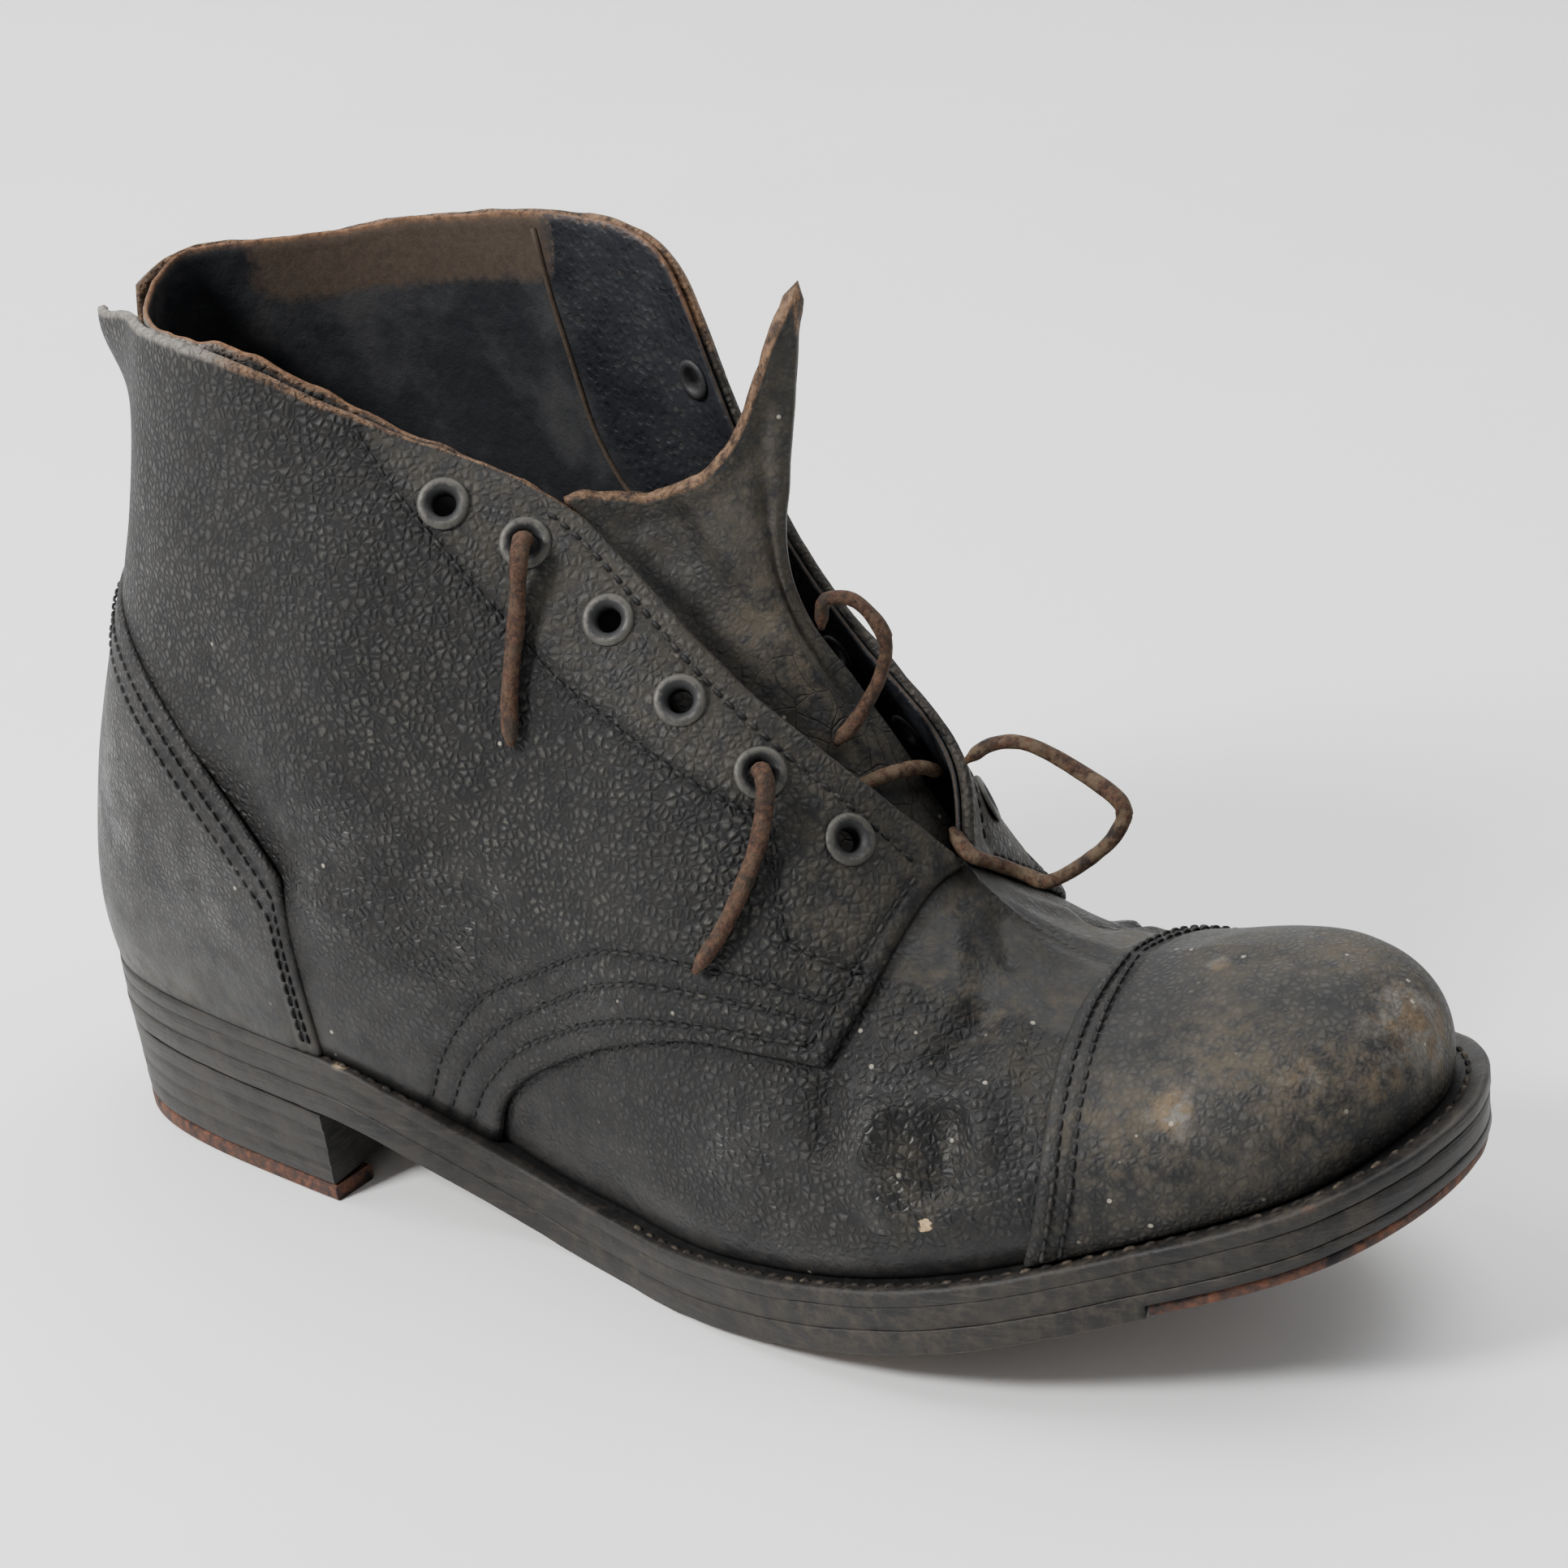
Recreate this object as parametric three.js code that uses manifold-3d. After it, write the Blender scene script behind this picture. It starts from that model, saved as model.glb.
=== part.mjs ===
// Right work boot, empty and standing on its sole. Millimetres, +X to the toe, +Y to the inner (medial) side,
// +Z up. The origin is on the floor under the middle of the heel.
import * as THREE from "three";
import Module from "manifold-3d";

const wasm = await Module();
wasm.setup();

// ---- Driving dimensions ----
const TOE_TIP = 300; // from a line just behind the heel, as all lengths below
const HEEL_CENTRE = 42; // the origin
const HEEL_HEIGHT = 20.4; // floor to outsole at the heel's breast
const HEEL_BREAST = 82;
const HEEL_SLOPE = 0.03; // rise of the seat towards the back
const TREAD_START = 145; // the flat tread under the ball
const TREAD_END = 159;
const TOE_SPRING = 34;
const SPRING_CURVE = 1.55;
const OUTSOLE = 5;
const MIDSOLE = 4.2;
const WELT = 3.2;
const INSOLE = 5;
const GAP = 0.3; // between pieces that touch
const WALL = 2.4; // upper leather with its lining
const OVERLAY = 1.7; // toe cap and heel counter
const WELT_WIDTH = 3.2; // welt inside the upper's outer face
const HEEL_TOP_INSET = 0.2;
const HEEL_BASE_INSET = 0.6;
const IRON_WIDTH = 10;
const HEEL_IRON = 3.5;
const TOE_IRON = 2.4;
const TOE_IRON_WIDTH = 14;
const TOE_IRON_INSET = 0.6;
const TONGUE = 2.2;
// Eyelets from the top down, each at its distance from the throat's bottom along the facing's edge.
const EYELETS = {
  lateral: { up: [118.5, 103, 83, 63.5, 45, 25.5], inset: 9.6 },
  medial: { up: [115, 97, 78, 59, 40, 21], inset: 12 },
};
const EYELET_HOLE = 2.2;
const EYELET_BARREL = 2.9;
const EYELET_FLANGE = 4.9;
const LACE = 3.2;
const LACE_SIDES = 8;

// The soles' levels above the underside of the outsole.
const MIDSOLE_AT = OUTSOLE + GAP;
const WELT_AT = MIDSOLE_AT + MIDSOLE + GAP;
const SEAT_AT = WELT_AT + WELT + GAP; // where the upper starts

// ---- The last: one rib for each station round the sole, outer side first ----
// edge: the sole's edge. low: how far inside it the upper starts, then how far the rib swells out and rises.
// high: from the rib's top back to its shoulder. top: the collar, then the facing's edge, then the vamp's ridge.
const RIBS = [
  { edge: [7, 2], low: [2.4, 5.6, 36], high: [-11, 0, -64], top: [41, 1, 173.5] }, // back seam
  { edge: [16, -19.5], low: [2.4, 5, 36], high: [-9, -4, -64], top: [52, -14, 171] },
  { edge: [39, -30.5], low: [2.4, 4, 34], high: [-5, -6, -64], top: [70, -25, 171.5] },
  { edge: [69, -36], low: [2.4, 2.5, 38], high: [-2, -8, -56], top: [91, -28, 168] },
  { edge: [100, -38.5], low: [3, 3, 42], high: [-5, -24, -12], top: [114, -18, 154.5] },
  { edge: [132, -35.2], low: [4, 5, 42], high: [-4, -24, -9], top: [142, -10, 141] },
  { edge: [164, -43.5], low: [4, 7, 34], high: [-4, -22, -14], top: [170, -14, 119] },
  { edge: [196, -50], low: [4, 8, 26], high: [-3, -24, -14], top: [196, -10, 95.5] },
  { edge: [229, -49.5], low: [4.5, 7, 22], high: [0, -26, -6], top: [212, 2, 74] }, // throat
  { edge: [260, -40], low: [5.5, 5, 21], high: [3, -26, -1], top: [235, 5, 60.5] },
  { edge: [288.5, -27], low: [8, 4, 20], high: [15, -19, 1], top: [252, 6, 63] },
  { edge: [301.8, 3], low: [8.6, 4, 18], high: [18, 0, 1], top: [262, 6.5, 65] }, // toe
  { edge: [288.5, 30.5], low: [7.2, 4, 20], high: [15, 19, 1], top: [252, 6, 63] },
  { edge: [262, 41], low: [5.5, 5, 21], high: [3, 24, -6], top: [235, 5, 60.5] },
  { edge: [232, 50], low: [4.5, 7, 22], high: [2, 19, -19], top: [212, 2, 74] }, // throat
  { edge: [201, 53], low: [4, 7, 26], high: [0, 12, -25], top: [203, 13, 92.5] },
  { edge: [168, 43.5], low: [4, 5, 34], high: [-2, 12, -34], top: [175, 17.5, 122] },
  { edge: [134, 34], low: [4, 3, 42], high: [-4, 8, -50], top: [156, 20, 164] },
  { edge: [100, 32], low: [3, 2, 42], high: [-8, 8, -65], top: [138, 23, 182.5] },
  { edge: [66, 34], low: [2.4, 2.5, 38], high: [-5, 7, -68], top: [93, 28, 181.5] },
  { edge: [37, 32.5], low: [2.4, 4, 34], high: [-6, 6, -66], top: [62, 25, 178.5] },
  { edge: [15, 22], low: [2.4, 5, 36], high: [-9, 4, -66], top: [43, 14, 178] },
];
const AROUND = RIBS.length;
const TOE = AROUND / 2;
const THROAT = 8; // the rib where the throat ends

const wrap = (i) => ((i % AROUND) + AROUND) % AROUND;
const mix = (a, b, t) => a + (b - a) * t;
const smooth = (t) => t * t * (3 - 2 * t);
const add = (a, b, k = 1) => a.map((v, i) => v + b[i] * k);
const length = (a) => Math.hypot(...a);
const unit = (a) => a.map((v) => v / length(a));
const cross = (a, b) => [
  a[1] * b[2] - a[2] * b[1],
  a[2] * b[0] - a[0] * b[2],
  a[0] * b[1] - a[1] * b[0],
];

// A smooth closed curve through one value per rib. The slopes settle so that its curvature has no steps.
function closedCurve(points) {
  let slopes = points.map((p) => p.map(() => 0));
  for (let pass = 0; pass < 60; pass++) {
    slopes = points.map((p, i) => {
      const before = wrap(i - 1);
      const after = wrap(i + 1);
      return p.map((_, k) => {
        const chord = points[after][k] - points[before][k];
        return (3 * chord - slopes[before][k] - slopes[after][k]) / 4;
      });
    });
  }
  return (w) => {
    const i = Math.floor(w);
    const t = w - i;
    const a = wrap(i);
    const b = wrap(i + 1);
    const s = smooth(t);
    return points[a].map((v, k) => {
      const bend = t * (1 - t) ** 2 * slopes[a][k] - t * t * (1 - t) * slopes[b][k];
      return mix(v, points[b][k], s) + bend;
    });
  };
}

const edgeCurve = closedCurve(RIBS.map((r) => r.edge));
const lowCurve = closedCurve(RIBS.map((r) => r.low));
const highCurve = closedCurve(RIBS.map((r) => r.high));
const topCurve = closedCurve(RIBS.map((r) => r.top));

// ---- The sole's shape ----
// Height of the outsole's underside: heel seat, shank, flat tread, then the toe's spring.
function underside(x) {
  if (x < HEEL_BREAST) return HEEL_HEIGHT + (HEEL_BREAST - x) * HEEL_SLOPE;
  if (x < TREAD_START) return HEEL_HEIGHT * smooth((TREAD_START - x) / (TREAD_START - HEEL_BREAST));
  if (x < TREAD_END) return 0;
  return TOE_SPRING * ((x - TREAD_END) / (TOE_TIP - TREAD_END)) ** SPRING_CURVE;
}

// A point of the sole's edge, moved in by an inset. The outward direction follows it.
function outward(w) {
  const a = edgeCurve(w - 0.01);
  const b = edgeCurve(w + 0.01);
  return unit([b[1] - a[1], a[0] - b[0]]);
}
function soleEdge(w, inset) {
  return add(edgeCurve(w), outward(w), -inset);
}
// The upper stands this far inside the sole's edge.
const feather = (w) => lowCurve(w)[0];

// ---- The upper's shape ----
// The ridge over the vamp and toe is shared by both sides.
function topLine(w) {
  const p = topCurve(w);
  const across = wrap(AROUND - w);
  const onRidge = w >= THROAT && w <= AROUND - THROAT;
  return onRidge ? p.map((v, k) => (v + topCurve(across)[k]) / 2) : p;
}

// The outer face: w goes round the foot by ribs, v goes up a rib from the feather line to its top.
function lastPoint(w, v) {
  const foot = soleEdge(w, feather(w));
  const base = [...foot, underside(foot[0]) + SEAT_AT];
  const [, swell, rise] = lowCurve(w);
  const low = add(base, [...outward(w).map((d) => d * swell), rise]);
  const top = topLine(w);
  const high = add(top, highCurve(w));
  const u = 1 - v;
  return base.map(
    (_, k) => u ** 3 * base[k] + 3 * u * u * v * low[k] + 3 * u * v * v * high[k] + v ** 3 * top[k],
  );
}

const STEP = 0.01;
const NEAR_TOP = 0.97; // ribs crowd together at the toe's crown, so its directions are read just below
function faceDirection(w, v) {
  const at = Math.min(v, NEAR_TOP);
  const along = add(lastPoint(w + STEP, at), lastPoint(w - STEP, at), -1);
  const up = add(lastPoint(w, at + STEP), lastPoint(w, Math.max(0, at - STEP)), -1);
  return unit(cross(along, up));
}

// A point a given distance outside the outer face, or inside it where the distance is negative.
function skin(w, v, out) {
  let n = faceDirection(w, v);
  if (v > NEAR_TOP && w >= THROAT && w <= AROUND - THROAT) {
    n = unit(add(n, faceDirection(AROUND - w, v)));
  }
  const p = add(lastPoint(w, v), n, out);
  if (v === 0) p[2] = underside(p[0]) + SEAT_AT;
  return p;
}

// ---- Solids ----
// A solid between two sheets of the same grid: the first faces out, and the rims are closed.
function between(faces, outer, inner) {
  const n = outer.length;
  const edges = new Set();
  const triangles = [];
  for (const f of faces) {
    const [a, b, c] = f;
    triangles.push(a, b, c, n + a, n + c, n + b);
    [[a, b], [b, c], [c, a]].forEach((e) => edges.add(e.join()));
  }
  for (const e of edges) {
    const [a, b] = e.split(",").map(Number);
    if (!edges.has(`${b},${a}`)) triangles.push(b, a, n + a, b, n + a, n + b);
  }
  return solid([...outer, ...inner], triangles);
}

function solid(points, triangles) {
  const g = new THREE.BufferGeometry();
  g.setAttribute("position", new THREE.Float32BufferAttribute(points.flat(), 3));
  g.setIndex(triangles);
  return g;
}

// Faces of a grid of rows and columns. name(i, j) is the point's number, equal where the grid is joined.
function gridFaces(rows, columns, name) {
  const faces = [];
  for (let i = 0; i < rows; i++) {
    for (let j = 0; j < columns; j++) {
      const [a, b, c, d] = [name(i, j), name(i, j + 1), name(i + 1, j + 1), name(i + 1, j)];
      if (a !== b && b !== c) faces.push([a, b, c]);
      if (c !== d && d !== a) faces.push([a, c, d]);
    }
  }
  return faces;
}

function toManifold(g) {
  return new wasm.Manifold(
    new wasm.Mesh({
      numProp: 3,
      vertProperties: new Float32Array(g.attributes.position.array),
      triVerts: new Uint32Array(g.index.array),
    }),
  );
}
function fromManifold(m) {
  const mesh = m.getMesh();
  const g = new THREE.BufferGeometry();
  g.setAttribute("position", new THREE.Float32BufferAttribute(mesh.vertProperties, 3));
  g.setIndex(Array.from(mesh.triVerts));
  return g;
}
function cut(body, tools) {
  return fromManifold(tools.reduce((left, tool) => left.subtract(toManifold(tool)), toManifold(body)));
}

// ---- Sole pieces ----
// A full layer of the sole, drawn as rows from the outer edge to the inner edge.
const SOLE_ROWS = 44;
const SOLE_COLUMNS = 2;
function soleLayer(insetAt, from, to) {
  const points = [];
  const names = new Map();
  for (let i = 0; i <= SOLE_ROWS; i++) {
    const w = (TOE * i) / SOLE_ROWS;
    const a = soleEdge(w, insetAt(w));
    const b = soleEdge(AROUND - w, insetAt(AROUND - w));
    const tip = i === 0 || i === SOLE_ROWS;
    for (let j = 0; j <= SOLE_COLUMNS; j++) {
      if (!tip || j === 0) points.push(tip ? a : a.map((v, k) => mix(v, b[k], j / SOLE_COLUMNS)));
      names.set(`${i},${j}`, points.length - 1);
    }
  }
  const name = (i, j) => names.get(`${j},${i}`);
  const faces = gridFaces(SOLE_COLUMNS, SOLE_ROWS, name);
  const level = (z) => points.map(([x, y]) => [x, y, underside(x) + z]);
  return between(faces, level(to), level(from));
}

// A strip that follows the sole's edge from one rib to another, between two insets.
function edgeStrip(start, end, steps, insets, levels, closed = false) {
  const outer = [];
  const inner = [];
  const count = closed ? steps : steps + 1;
  for (let i = 0; i < count; i++) {
    const w = mix(start, end, i / steps);
    for (const inset of insets(w)) {
      const [x, y] = soleEdge(w, inset);
      const [from, to] = levels(x);
      outer.push([x, y, to]);
      inner.push([x, y, from]);
    }
  }
  const name = (i, j) => 2 * (closed ? j % steps : j) + i;
  return between(gridFaces(1, steps, name), outer, inner);
}

function outsole() {
  const body = soleLayer(() => 0, 0, OUTSOLE);
  const reach = TOE_IRON_WIDTH + TOE_IRON_INSET + GAP;
  const recess = edgeStrip(
    9.0,
    13.1,
    24,
    () => [-2, reach],
    (x) => [underside(x) - 2, underside(x) + TOE_IRON + GAP],
  );
  return cut(body, [recess]);
}

function toeIron() {
  return edgeStrip(
    9.02,
    13.08,
    24,
    () => [TOE_IRON_INSET, TOE_IRON_INSET + TOE_IRON_WIDTH],
    (x) => [underside(x), underside(x) + TOE_IRON],
  );
}

function midsole() {
  return soleLayer(() => 0.3, MIDSOLE_AT, MIDSOLE_AT + MIDSOLE);
}

function welt() {
  return edgeStrip(
    0,
    AROUND,
    88,
    (w) => [0, feather(w) + WELT_WIDTH],
    (x) => [underside(x) + WELT_AT, underside(x) + WELT_AT + WELT],
    true,
  );
}

function insole() {
  return soleLayer((w) => feather(w) + WELT_WIDTH + GAP, WELT_AT, WELT_AT + INSOLE);
}

// The heel's outline ends at the breast. These are the two ribs that reach it, counted from the back seam.
function ribAt(x, direction) {
  let low = 0;
  let high = 6;
  for (let k = 0; k < 40; k++) {
    const w = (low + high) / 2;
    if (soleEdge(direction * w, HEEL_BASE_INSET)[0] < x) low = w;
    else high = w;
  }
  return direction * low;
}
const BREAST_OUTER = ribAt(HEEL_BREAST, 1);
const BREAST_INNER = ribAt(HEEL_BREAST, -1);

function heelBlock() {
  const rows = 16;
  const columns = 2;
  const top = [];
  const base = [];
  const names = new Map();
  for (let i = 0; i <= rows; i++) {
    const t = i / rows;
    for (let j = 0; j <= columns; j++) {
      if (i > 0 || j === 0) {
        const place = (inset) => {
          const a = soleEdge(BREAST_OUTER * t, inset);
          const b = soleEdge(BREAST_INNER * t, inset);
          return a.map((v, k) => mix(v, b[k], j / columns));
        };
        const [x, y] = place(HEEL_TOP_INSET);
        top.push([x, y, underside(x) - GAP]);
        base.push([...place(HEEL_BASE_INSET), 0]);
      }
      names.set(`${i},${j}`, top.length - 1);
    }
  }
  return between(gridFaces(columns, rows, (i, j) => names.get(`${j},${i}`)), top, base);
}

function heelStack() {
  const recess = edgeStrip(
    BREAST_INNER - 0.4,
    BREAST_OUTER + 0.4,
    36,
    () => [-4, HEEL_BASE_INSET + IRON_WIDTH + GAP],
    () => [-2, HEEL_IRON + GAP],
  );
  return cut(heelBlock(), [recess]);
}

function heelIron() {
  return edgeStrip(
    BREAST_INNER,
    BREAST_OUTER,
    36,
    () => [HEEL_BASE_INSET, HEEL_BASE_INSET + IRON_WIDTH],
    () => [0, HEEL_IRON],
  );
}

// ---- Upper pieces ----
// A shell on part of the upper: place(i, j) gives [w, v]. The ridge joins columns that mirror each other.
function leather(rows, columns, place, from, to, closed, joined) {
  const outer = [];
  const inner = [];
  const names = new Map();
  for (let i = 0; i <= rows; i++) {
    for (let j = 0; j < (closed ? columns : columns + 1); j++) {
      const twin = i === rows && joined(j) ? Math.min(j, columns - j) : j;
      if (twin === j) {
        const [w, v] = place(i, j);
        outer.push(skin(w, v, to));
        inner.push(skin(w, v, from));
        names.set(`${i},${j}`, outer.length - 1);
      } else {
        names.set(`${i},${j}`, names.get(`${i},${twin}`));
      }
    }
  }
  const name = (i, j) => names.get(`${i},${closed ? j % columns : j}`);
  return between(gridFaces(rows, columns, name), outer, inner);
}

const UPPER_ROWS = 10;
const UPPER_PER_RIB = 4;
function upperShell() {
  const columns = AROUND * UPPER_PER_RIB;
  const first = THROAT * UPPER_PER_RIB;
  const place = (i, j) => [j / UPPER_PER_RIB, i / UPPER_ROWS];
  const joined = (j) => j >= first && j <= columns - first;
  return leather(UPPER_ROWS, columns, place, -WALL, 0, true, joined);
}

// The cap's seam crosses the vamp from the welt up to the ridge.
const capSeam = (v) => 8.38 + 0.72 * v;
function toeCap() {
  const rows = UPPER_ROWS;
  const columns = 26;
  const place = (i, j) => {
    const v = i / rows;
    return [mix(capSeam(v), AROUND - capSeam(v), j / columns), v];
  };
  return leather(rows, columns, place, GAP, GAP + OVERLAY, false, () => true);
}

// The counter wraps the heel and rises to a rounded peak on the back seam.
const COUNTER_REACH = 3.5;
const COUNTER_SIDE = 0.3;
const COUNTER_PEAK = 0.68;
function heelCounter() {
  const rows = 6;
  const columns = 26;
  const place = (i, j) => {
    const r = i / rows;
    const s = (2 * j) / columns - 1;
    const height = mix(COUNTER_SIDE, COUNTER_PEAK, 1 - Math.abs(s) ** 2.4);
    return [s * (COUNTER_REACH - 0.15 * r), r * height];
  };
  return leather(rows, columns, place, GAP, GAP + OVERLAY, false, () => false);
}

// ---- Tongue: three rails from its root under the vamp to its top edge ----
const TONGUE_OUTER = [
  [217, -15, 56],
  [201, -17, 69],
  [184, -18, 85],
  [167, -17, 104],
  [153, -12, 123],
  [140, -5, 140.5],
];
const TONGUE_MIDDLE = [
  [224, 3, 58],
  [208, 2, 68],
  [194, 1, 86],
  [181, 0, 107],
  [169.5, 0, 126],
  [161, 1, 142.5],
];
const TONGUE_INNER = [
  [217, 15, 53],
  [205, 14, 69],
  [192, 11, 94],
  [182, 9, 118],
  [179.5, 10, 142],
  [183.6, 8, 178.5],
];

function tongueMiddle(s, t) {
  const rails = [TONGUE_OUTER, TONGUE_MIDDLE, TONGUE_INNER].map((points) =>
    new THREE.CatmullRomCurve3(points.map((p) => new THREE.Vector3(...p))).getPoint(t),
  );
  return new THREE.CatmullRomCurve3(rails).getPoint(s).toArray();
}

function tongue() {
  const rows = 12;
  const columns = 7;
  const points = [];
  for (let i = 0; i <= rows; i++) {
    for (let j = 0; j <= columns; j++) {
      const s = j / columns;
      const t = i / rows;
      const d = 0.02;
      const across = add(tongueMiddle(Math.min(1, s + d), t), tongueMiddle(Math.max(0, s - d), t), -1);
      const up = add(tongueMiddle(s, Math.min(1, t + d)), tongueMiddle(s, Math.max(0, t - d)), -1);
      points.push([tongueMiddle(s, t), unit(cross(across, up))]);
    }
  }
  const faces = gridFaces(rows, columns, (i, j) => i * (columns + 1) + j);
  const shifted = (k) => points.map(([p, n]) => add(p, n, k * TONGUE));
  return between(faces, shifted(0.5), shifted(-0.5));
}

// ---- Eyelets ----
// The rib that lies a given distance from the throat's bottom, along the facing's edge.
function facingRib(side, distance) {
  const medial = side === "medial";
  const step = medial ? 0.01 : -0.01;
  let w = medial ? AROUND - THROAT : THROAT;
  let gone = 0;
  while (gone < distance) {
    gone += length(add(topLine(w + step), topLine(w), -1));
    w += step;
  }
  return w;
}

function eyeletPlaces(side) {
  return EYELETS[side].up.map((distance) => {
    const w = facingRib(side, distance);
    let v = 1;
    while (length(add(lastPoint(w, v), topLine(w), -1)) < EYELETS[side].inset) v -= 0.002;
    return { at: lastPoint(w, v), out: faceDirection(w, v) };
  });
}

// Turns and moves a shape made along +Y so that it stands on the upper.
function standOn(g, place) {
  const turn = new THREE.Quaternion().setFromUnitVectors(
    new THREE.Vector3(0, 1, 0),
    new THREE.Vector3(...place.out),
  );
  return g.applyQuaternion(turn).translate(...place.at);
}

const EYELET_SIDES = 8;
function eyelet(place) {
  const bottom = -WALL - 0.8;
  const profile = [
    [EYELET_HOLE, bottom],
    [EYELET_BARREL, bottom],
    [EYELET_BARREL, GAP],
    [EYELET_FLANGE, GAP],
    [EYELET_FLANGE - 0.8, GAP + 0.9],
    [EYELET_HOLE, GAP + 0.9],
  ];
  const n = profile.length;
  const points = [];
  for (let j = 0; j < EYELET_SIDES; j++) {
    const a = (2 * Math.PI * j) / EYELET_SIDES;
    profile.forEach(([r, h]) => points.push([r * Math.cos(a), h, -r * Math.sin(a)]));
  }
  const triangles = [];
  for (let j = 0; j < EYELET_SIDES; j++) {
    for (let i = 0; i < n; i++) {
      const a = j * n + i;
      const b = j * n + ((i + 1) % n);
      const c = ((j + 1) % EYELET_SIDES) * n + ((i + 1) % n);
      const d = ((j + 1) % EYELET_SIDES) * n + i;
      triangles.push(a, c, b, a, d, c);
    }
  }
  return standOn(solid(points, triangles), place);
}

function eyeletHole(place) {
  const r = EYELET_BARREL + GAP;
  const g = new THREE.CylinderGeometry(r, r, 14, EYELET_SIDES);
  return standOn(weld(g), place);
}

// ---- Laces: one bar still crosses the throat, and the rest are broken ends ----
const LACE_BAR = [
  [192, -7, 91.5],
  [195.5, 0, 92],
  [198, 8, 90.5],
  [198.8, 14, 87],
];
const LACE_END_UPPER = [
  [137.9, -16.7, 135.8],
  [140, -20.4, 138.5],
  [141, -23.6, 135.5],
  [140.3, -25.7, 126],
  [139.6, -29.7, 114],
  [139.3, -31.7, 104],
];
const LACE_END_LOWER = [
  [183.2, -19.9, 99.2],
  [185.9, -23.2, 101.9],
  [188, -25.8, 99],
  [187.4, -30, 90],
  [184.4, -36.8, 79.5],
  [179.4, -41.2, 71],
];
const LACE_LOOP = [
  [188.7, -3.6, 98.7],
  [190.6, 1.6, 102],
  [194, 5, 109],
  [195, 6, 116],
  [190, 6, 122],
  [185, 4, 122.5],
  [183.5, 4, 117],
];
const LACE_TANGLE = [
  [206, 4, 81.5],
  [211.2, 0.5, 79],
  [215, 4.5, 75.5],
  [218.5, 7, 73],
  [223, 7, 72.5],
  [230, 8, 77],
  [235, 10, 82],
  [235.5, 12, 87],
  [226, 14, 91.5],
  [218, 12, 96],
  [211, 12, 95],
  [206.5, 10, 92],
];

function cord(route, steps) {
  const section = new THREE.Shape(
    Array.from({ length: LACE_SIDES }, (_, k) => {
      const a = (2 * Math.PI * k) / LACE_SIDES;
      return new THREE.Vector2((LACE / 2) * Math.cos(a), (LACE / 2) * Math.sin(a));
    }),
  );
  const extrudePath = new THREE.CatmullRomCurve3(route.map((p) => new THREE.Vector3(...p)));
  return weld(new THREE.ExtrudeGeometry(section, { steps, extrudePath, bevelEnabled: false }));
}

// three.js repeats points along seams, and a solid for cutting needs each of them once.
function weld(g) {
  const seen = new Map();
  const points = [];
  const position = g.attributes.position;
  const names = [];
  for (let i = 0; i < position.count; i++) {
    const p = [position.getX(i), position.getY(i), position.getZ(i)];
    const key = p.map((v) => Math.round(v * 1000)).join();
    if (!seen.has(key)) seen.set(key, points.push(p) - 1);
    names.push(seen.get(key));
  }
  const order = g.index ? Array.from(g.index.array).map((i) => names[i]) : names;
  const triangles = [];
  for (let i = 0; i < order.length; i += 3) {
    const [a, b, c] = order.slice(i, i + 3);
    if (a !== b && b !== c && c !== a) triangles.push(a, b, c);
  }
  return solid(points, triangles);
}

// ---- Assembly ----
const leatherBlack = new THREE.MeshStandardMaterial({ color: 0x2c2b2a, roughness: 0.6 });
const leatherBrown = new THREE.MeshStandardMaterial({ color: 0x5a4534, roughness: 0.8 });
const soleLeather = new THREE.MeshStandardMaterial({ color: 0x2a2623, roughness: 0.7 });
const iron = new THREE.MeshStandardMaterial({ color: 0x5b3a2c, roughness: 0.8, metalness: 0.5 });
const paint = new THREE.MeshStandardMaterial({ color: 0x1b1b1c, roughness: 0.4, metalness: 0.4 });

const lace = new THREE.MeshStandardMaterial({ color: 0x5a3524, roughness: 0.8 });

const group = new THREE.Group();
function piece(name, geometry, material) {
  const g = geometry.toNonIndexed().translate(-HEEL_CENTRE, 0, 0);
  g.computeVertexNormals();
  const mesh = new THREE.Mesh(g, material);
  mesh.name = name;
  group.add(mesh);
}

const sides = ["lateral", "medial"].map((name) => ({ name, places: eyeletPlaces(name) }));
piece("outsole", outsole(), soleLeather);
piece("midsole", midsole(), soleLeather);
piece("welt", welt(), soleLeather);
piece("heel_stack", heelStack(), soleLeather);
piece("heel_iron", heelIron(), iron);
piece("toe_iron", toeIron(), iron);
piece("insole", insole(), leatherBrown);
piece("upper", cut(upperShell(), sides.flatMap((s) => s.places.map(eyeletHole))), leatherBlack);
piece("toe_cap", toeCap(), leatherBlack);
piece("heel_counter", heelCounter(), leatherBlack);
piece("tongue", tongue(), leatherBlack);
piece("lace_bar", cord(LACE_BAR, 5), lace);
piece("lace_end_upper", cord(LACE_END_UPPER, 9), lace);
piece("lace_end_lower", cord(LACE_END_LOWER, 9), lace);
piece("lace_loop", cord(LACE_LOOP, 11), lace);
piece("lace_tangle", cord(LACE_TANGLE, 20), lace);
sides.forEach((s) => s.places.forEach((p, k) => piece(`eyelet_${s.name}_${k + 1}`, eyelet(p), paint)));

export default group;
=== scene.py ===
"""Looks of the right work boot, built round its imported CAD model.

Lengths in the tables are millimetres from the same datum line as the CAD source, and at() turns them into the
row's metres."""

import math

import bmesh
import bpy
import numpy as np
from mathutils import Matrix, Vector


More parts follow.
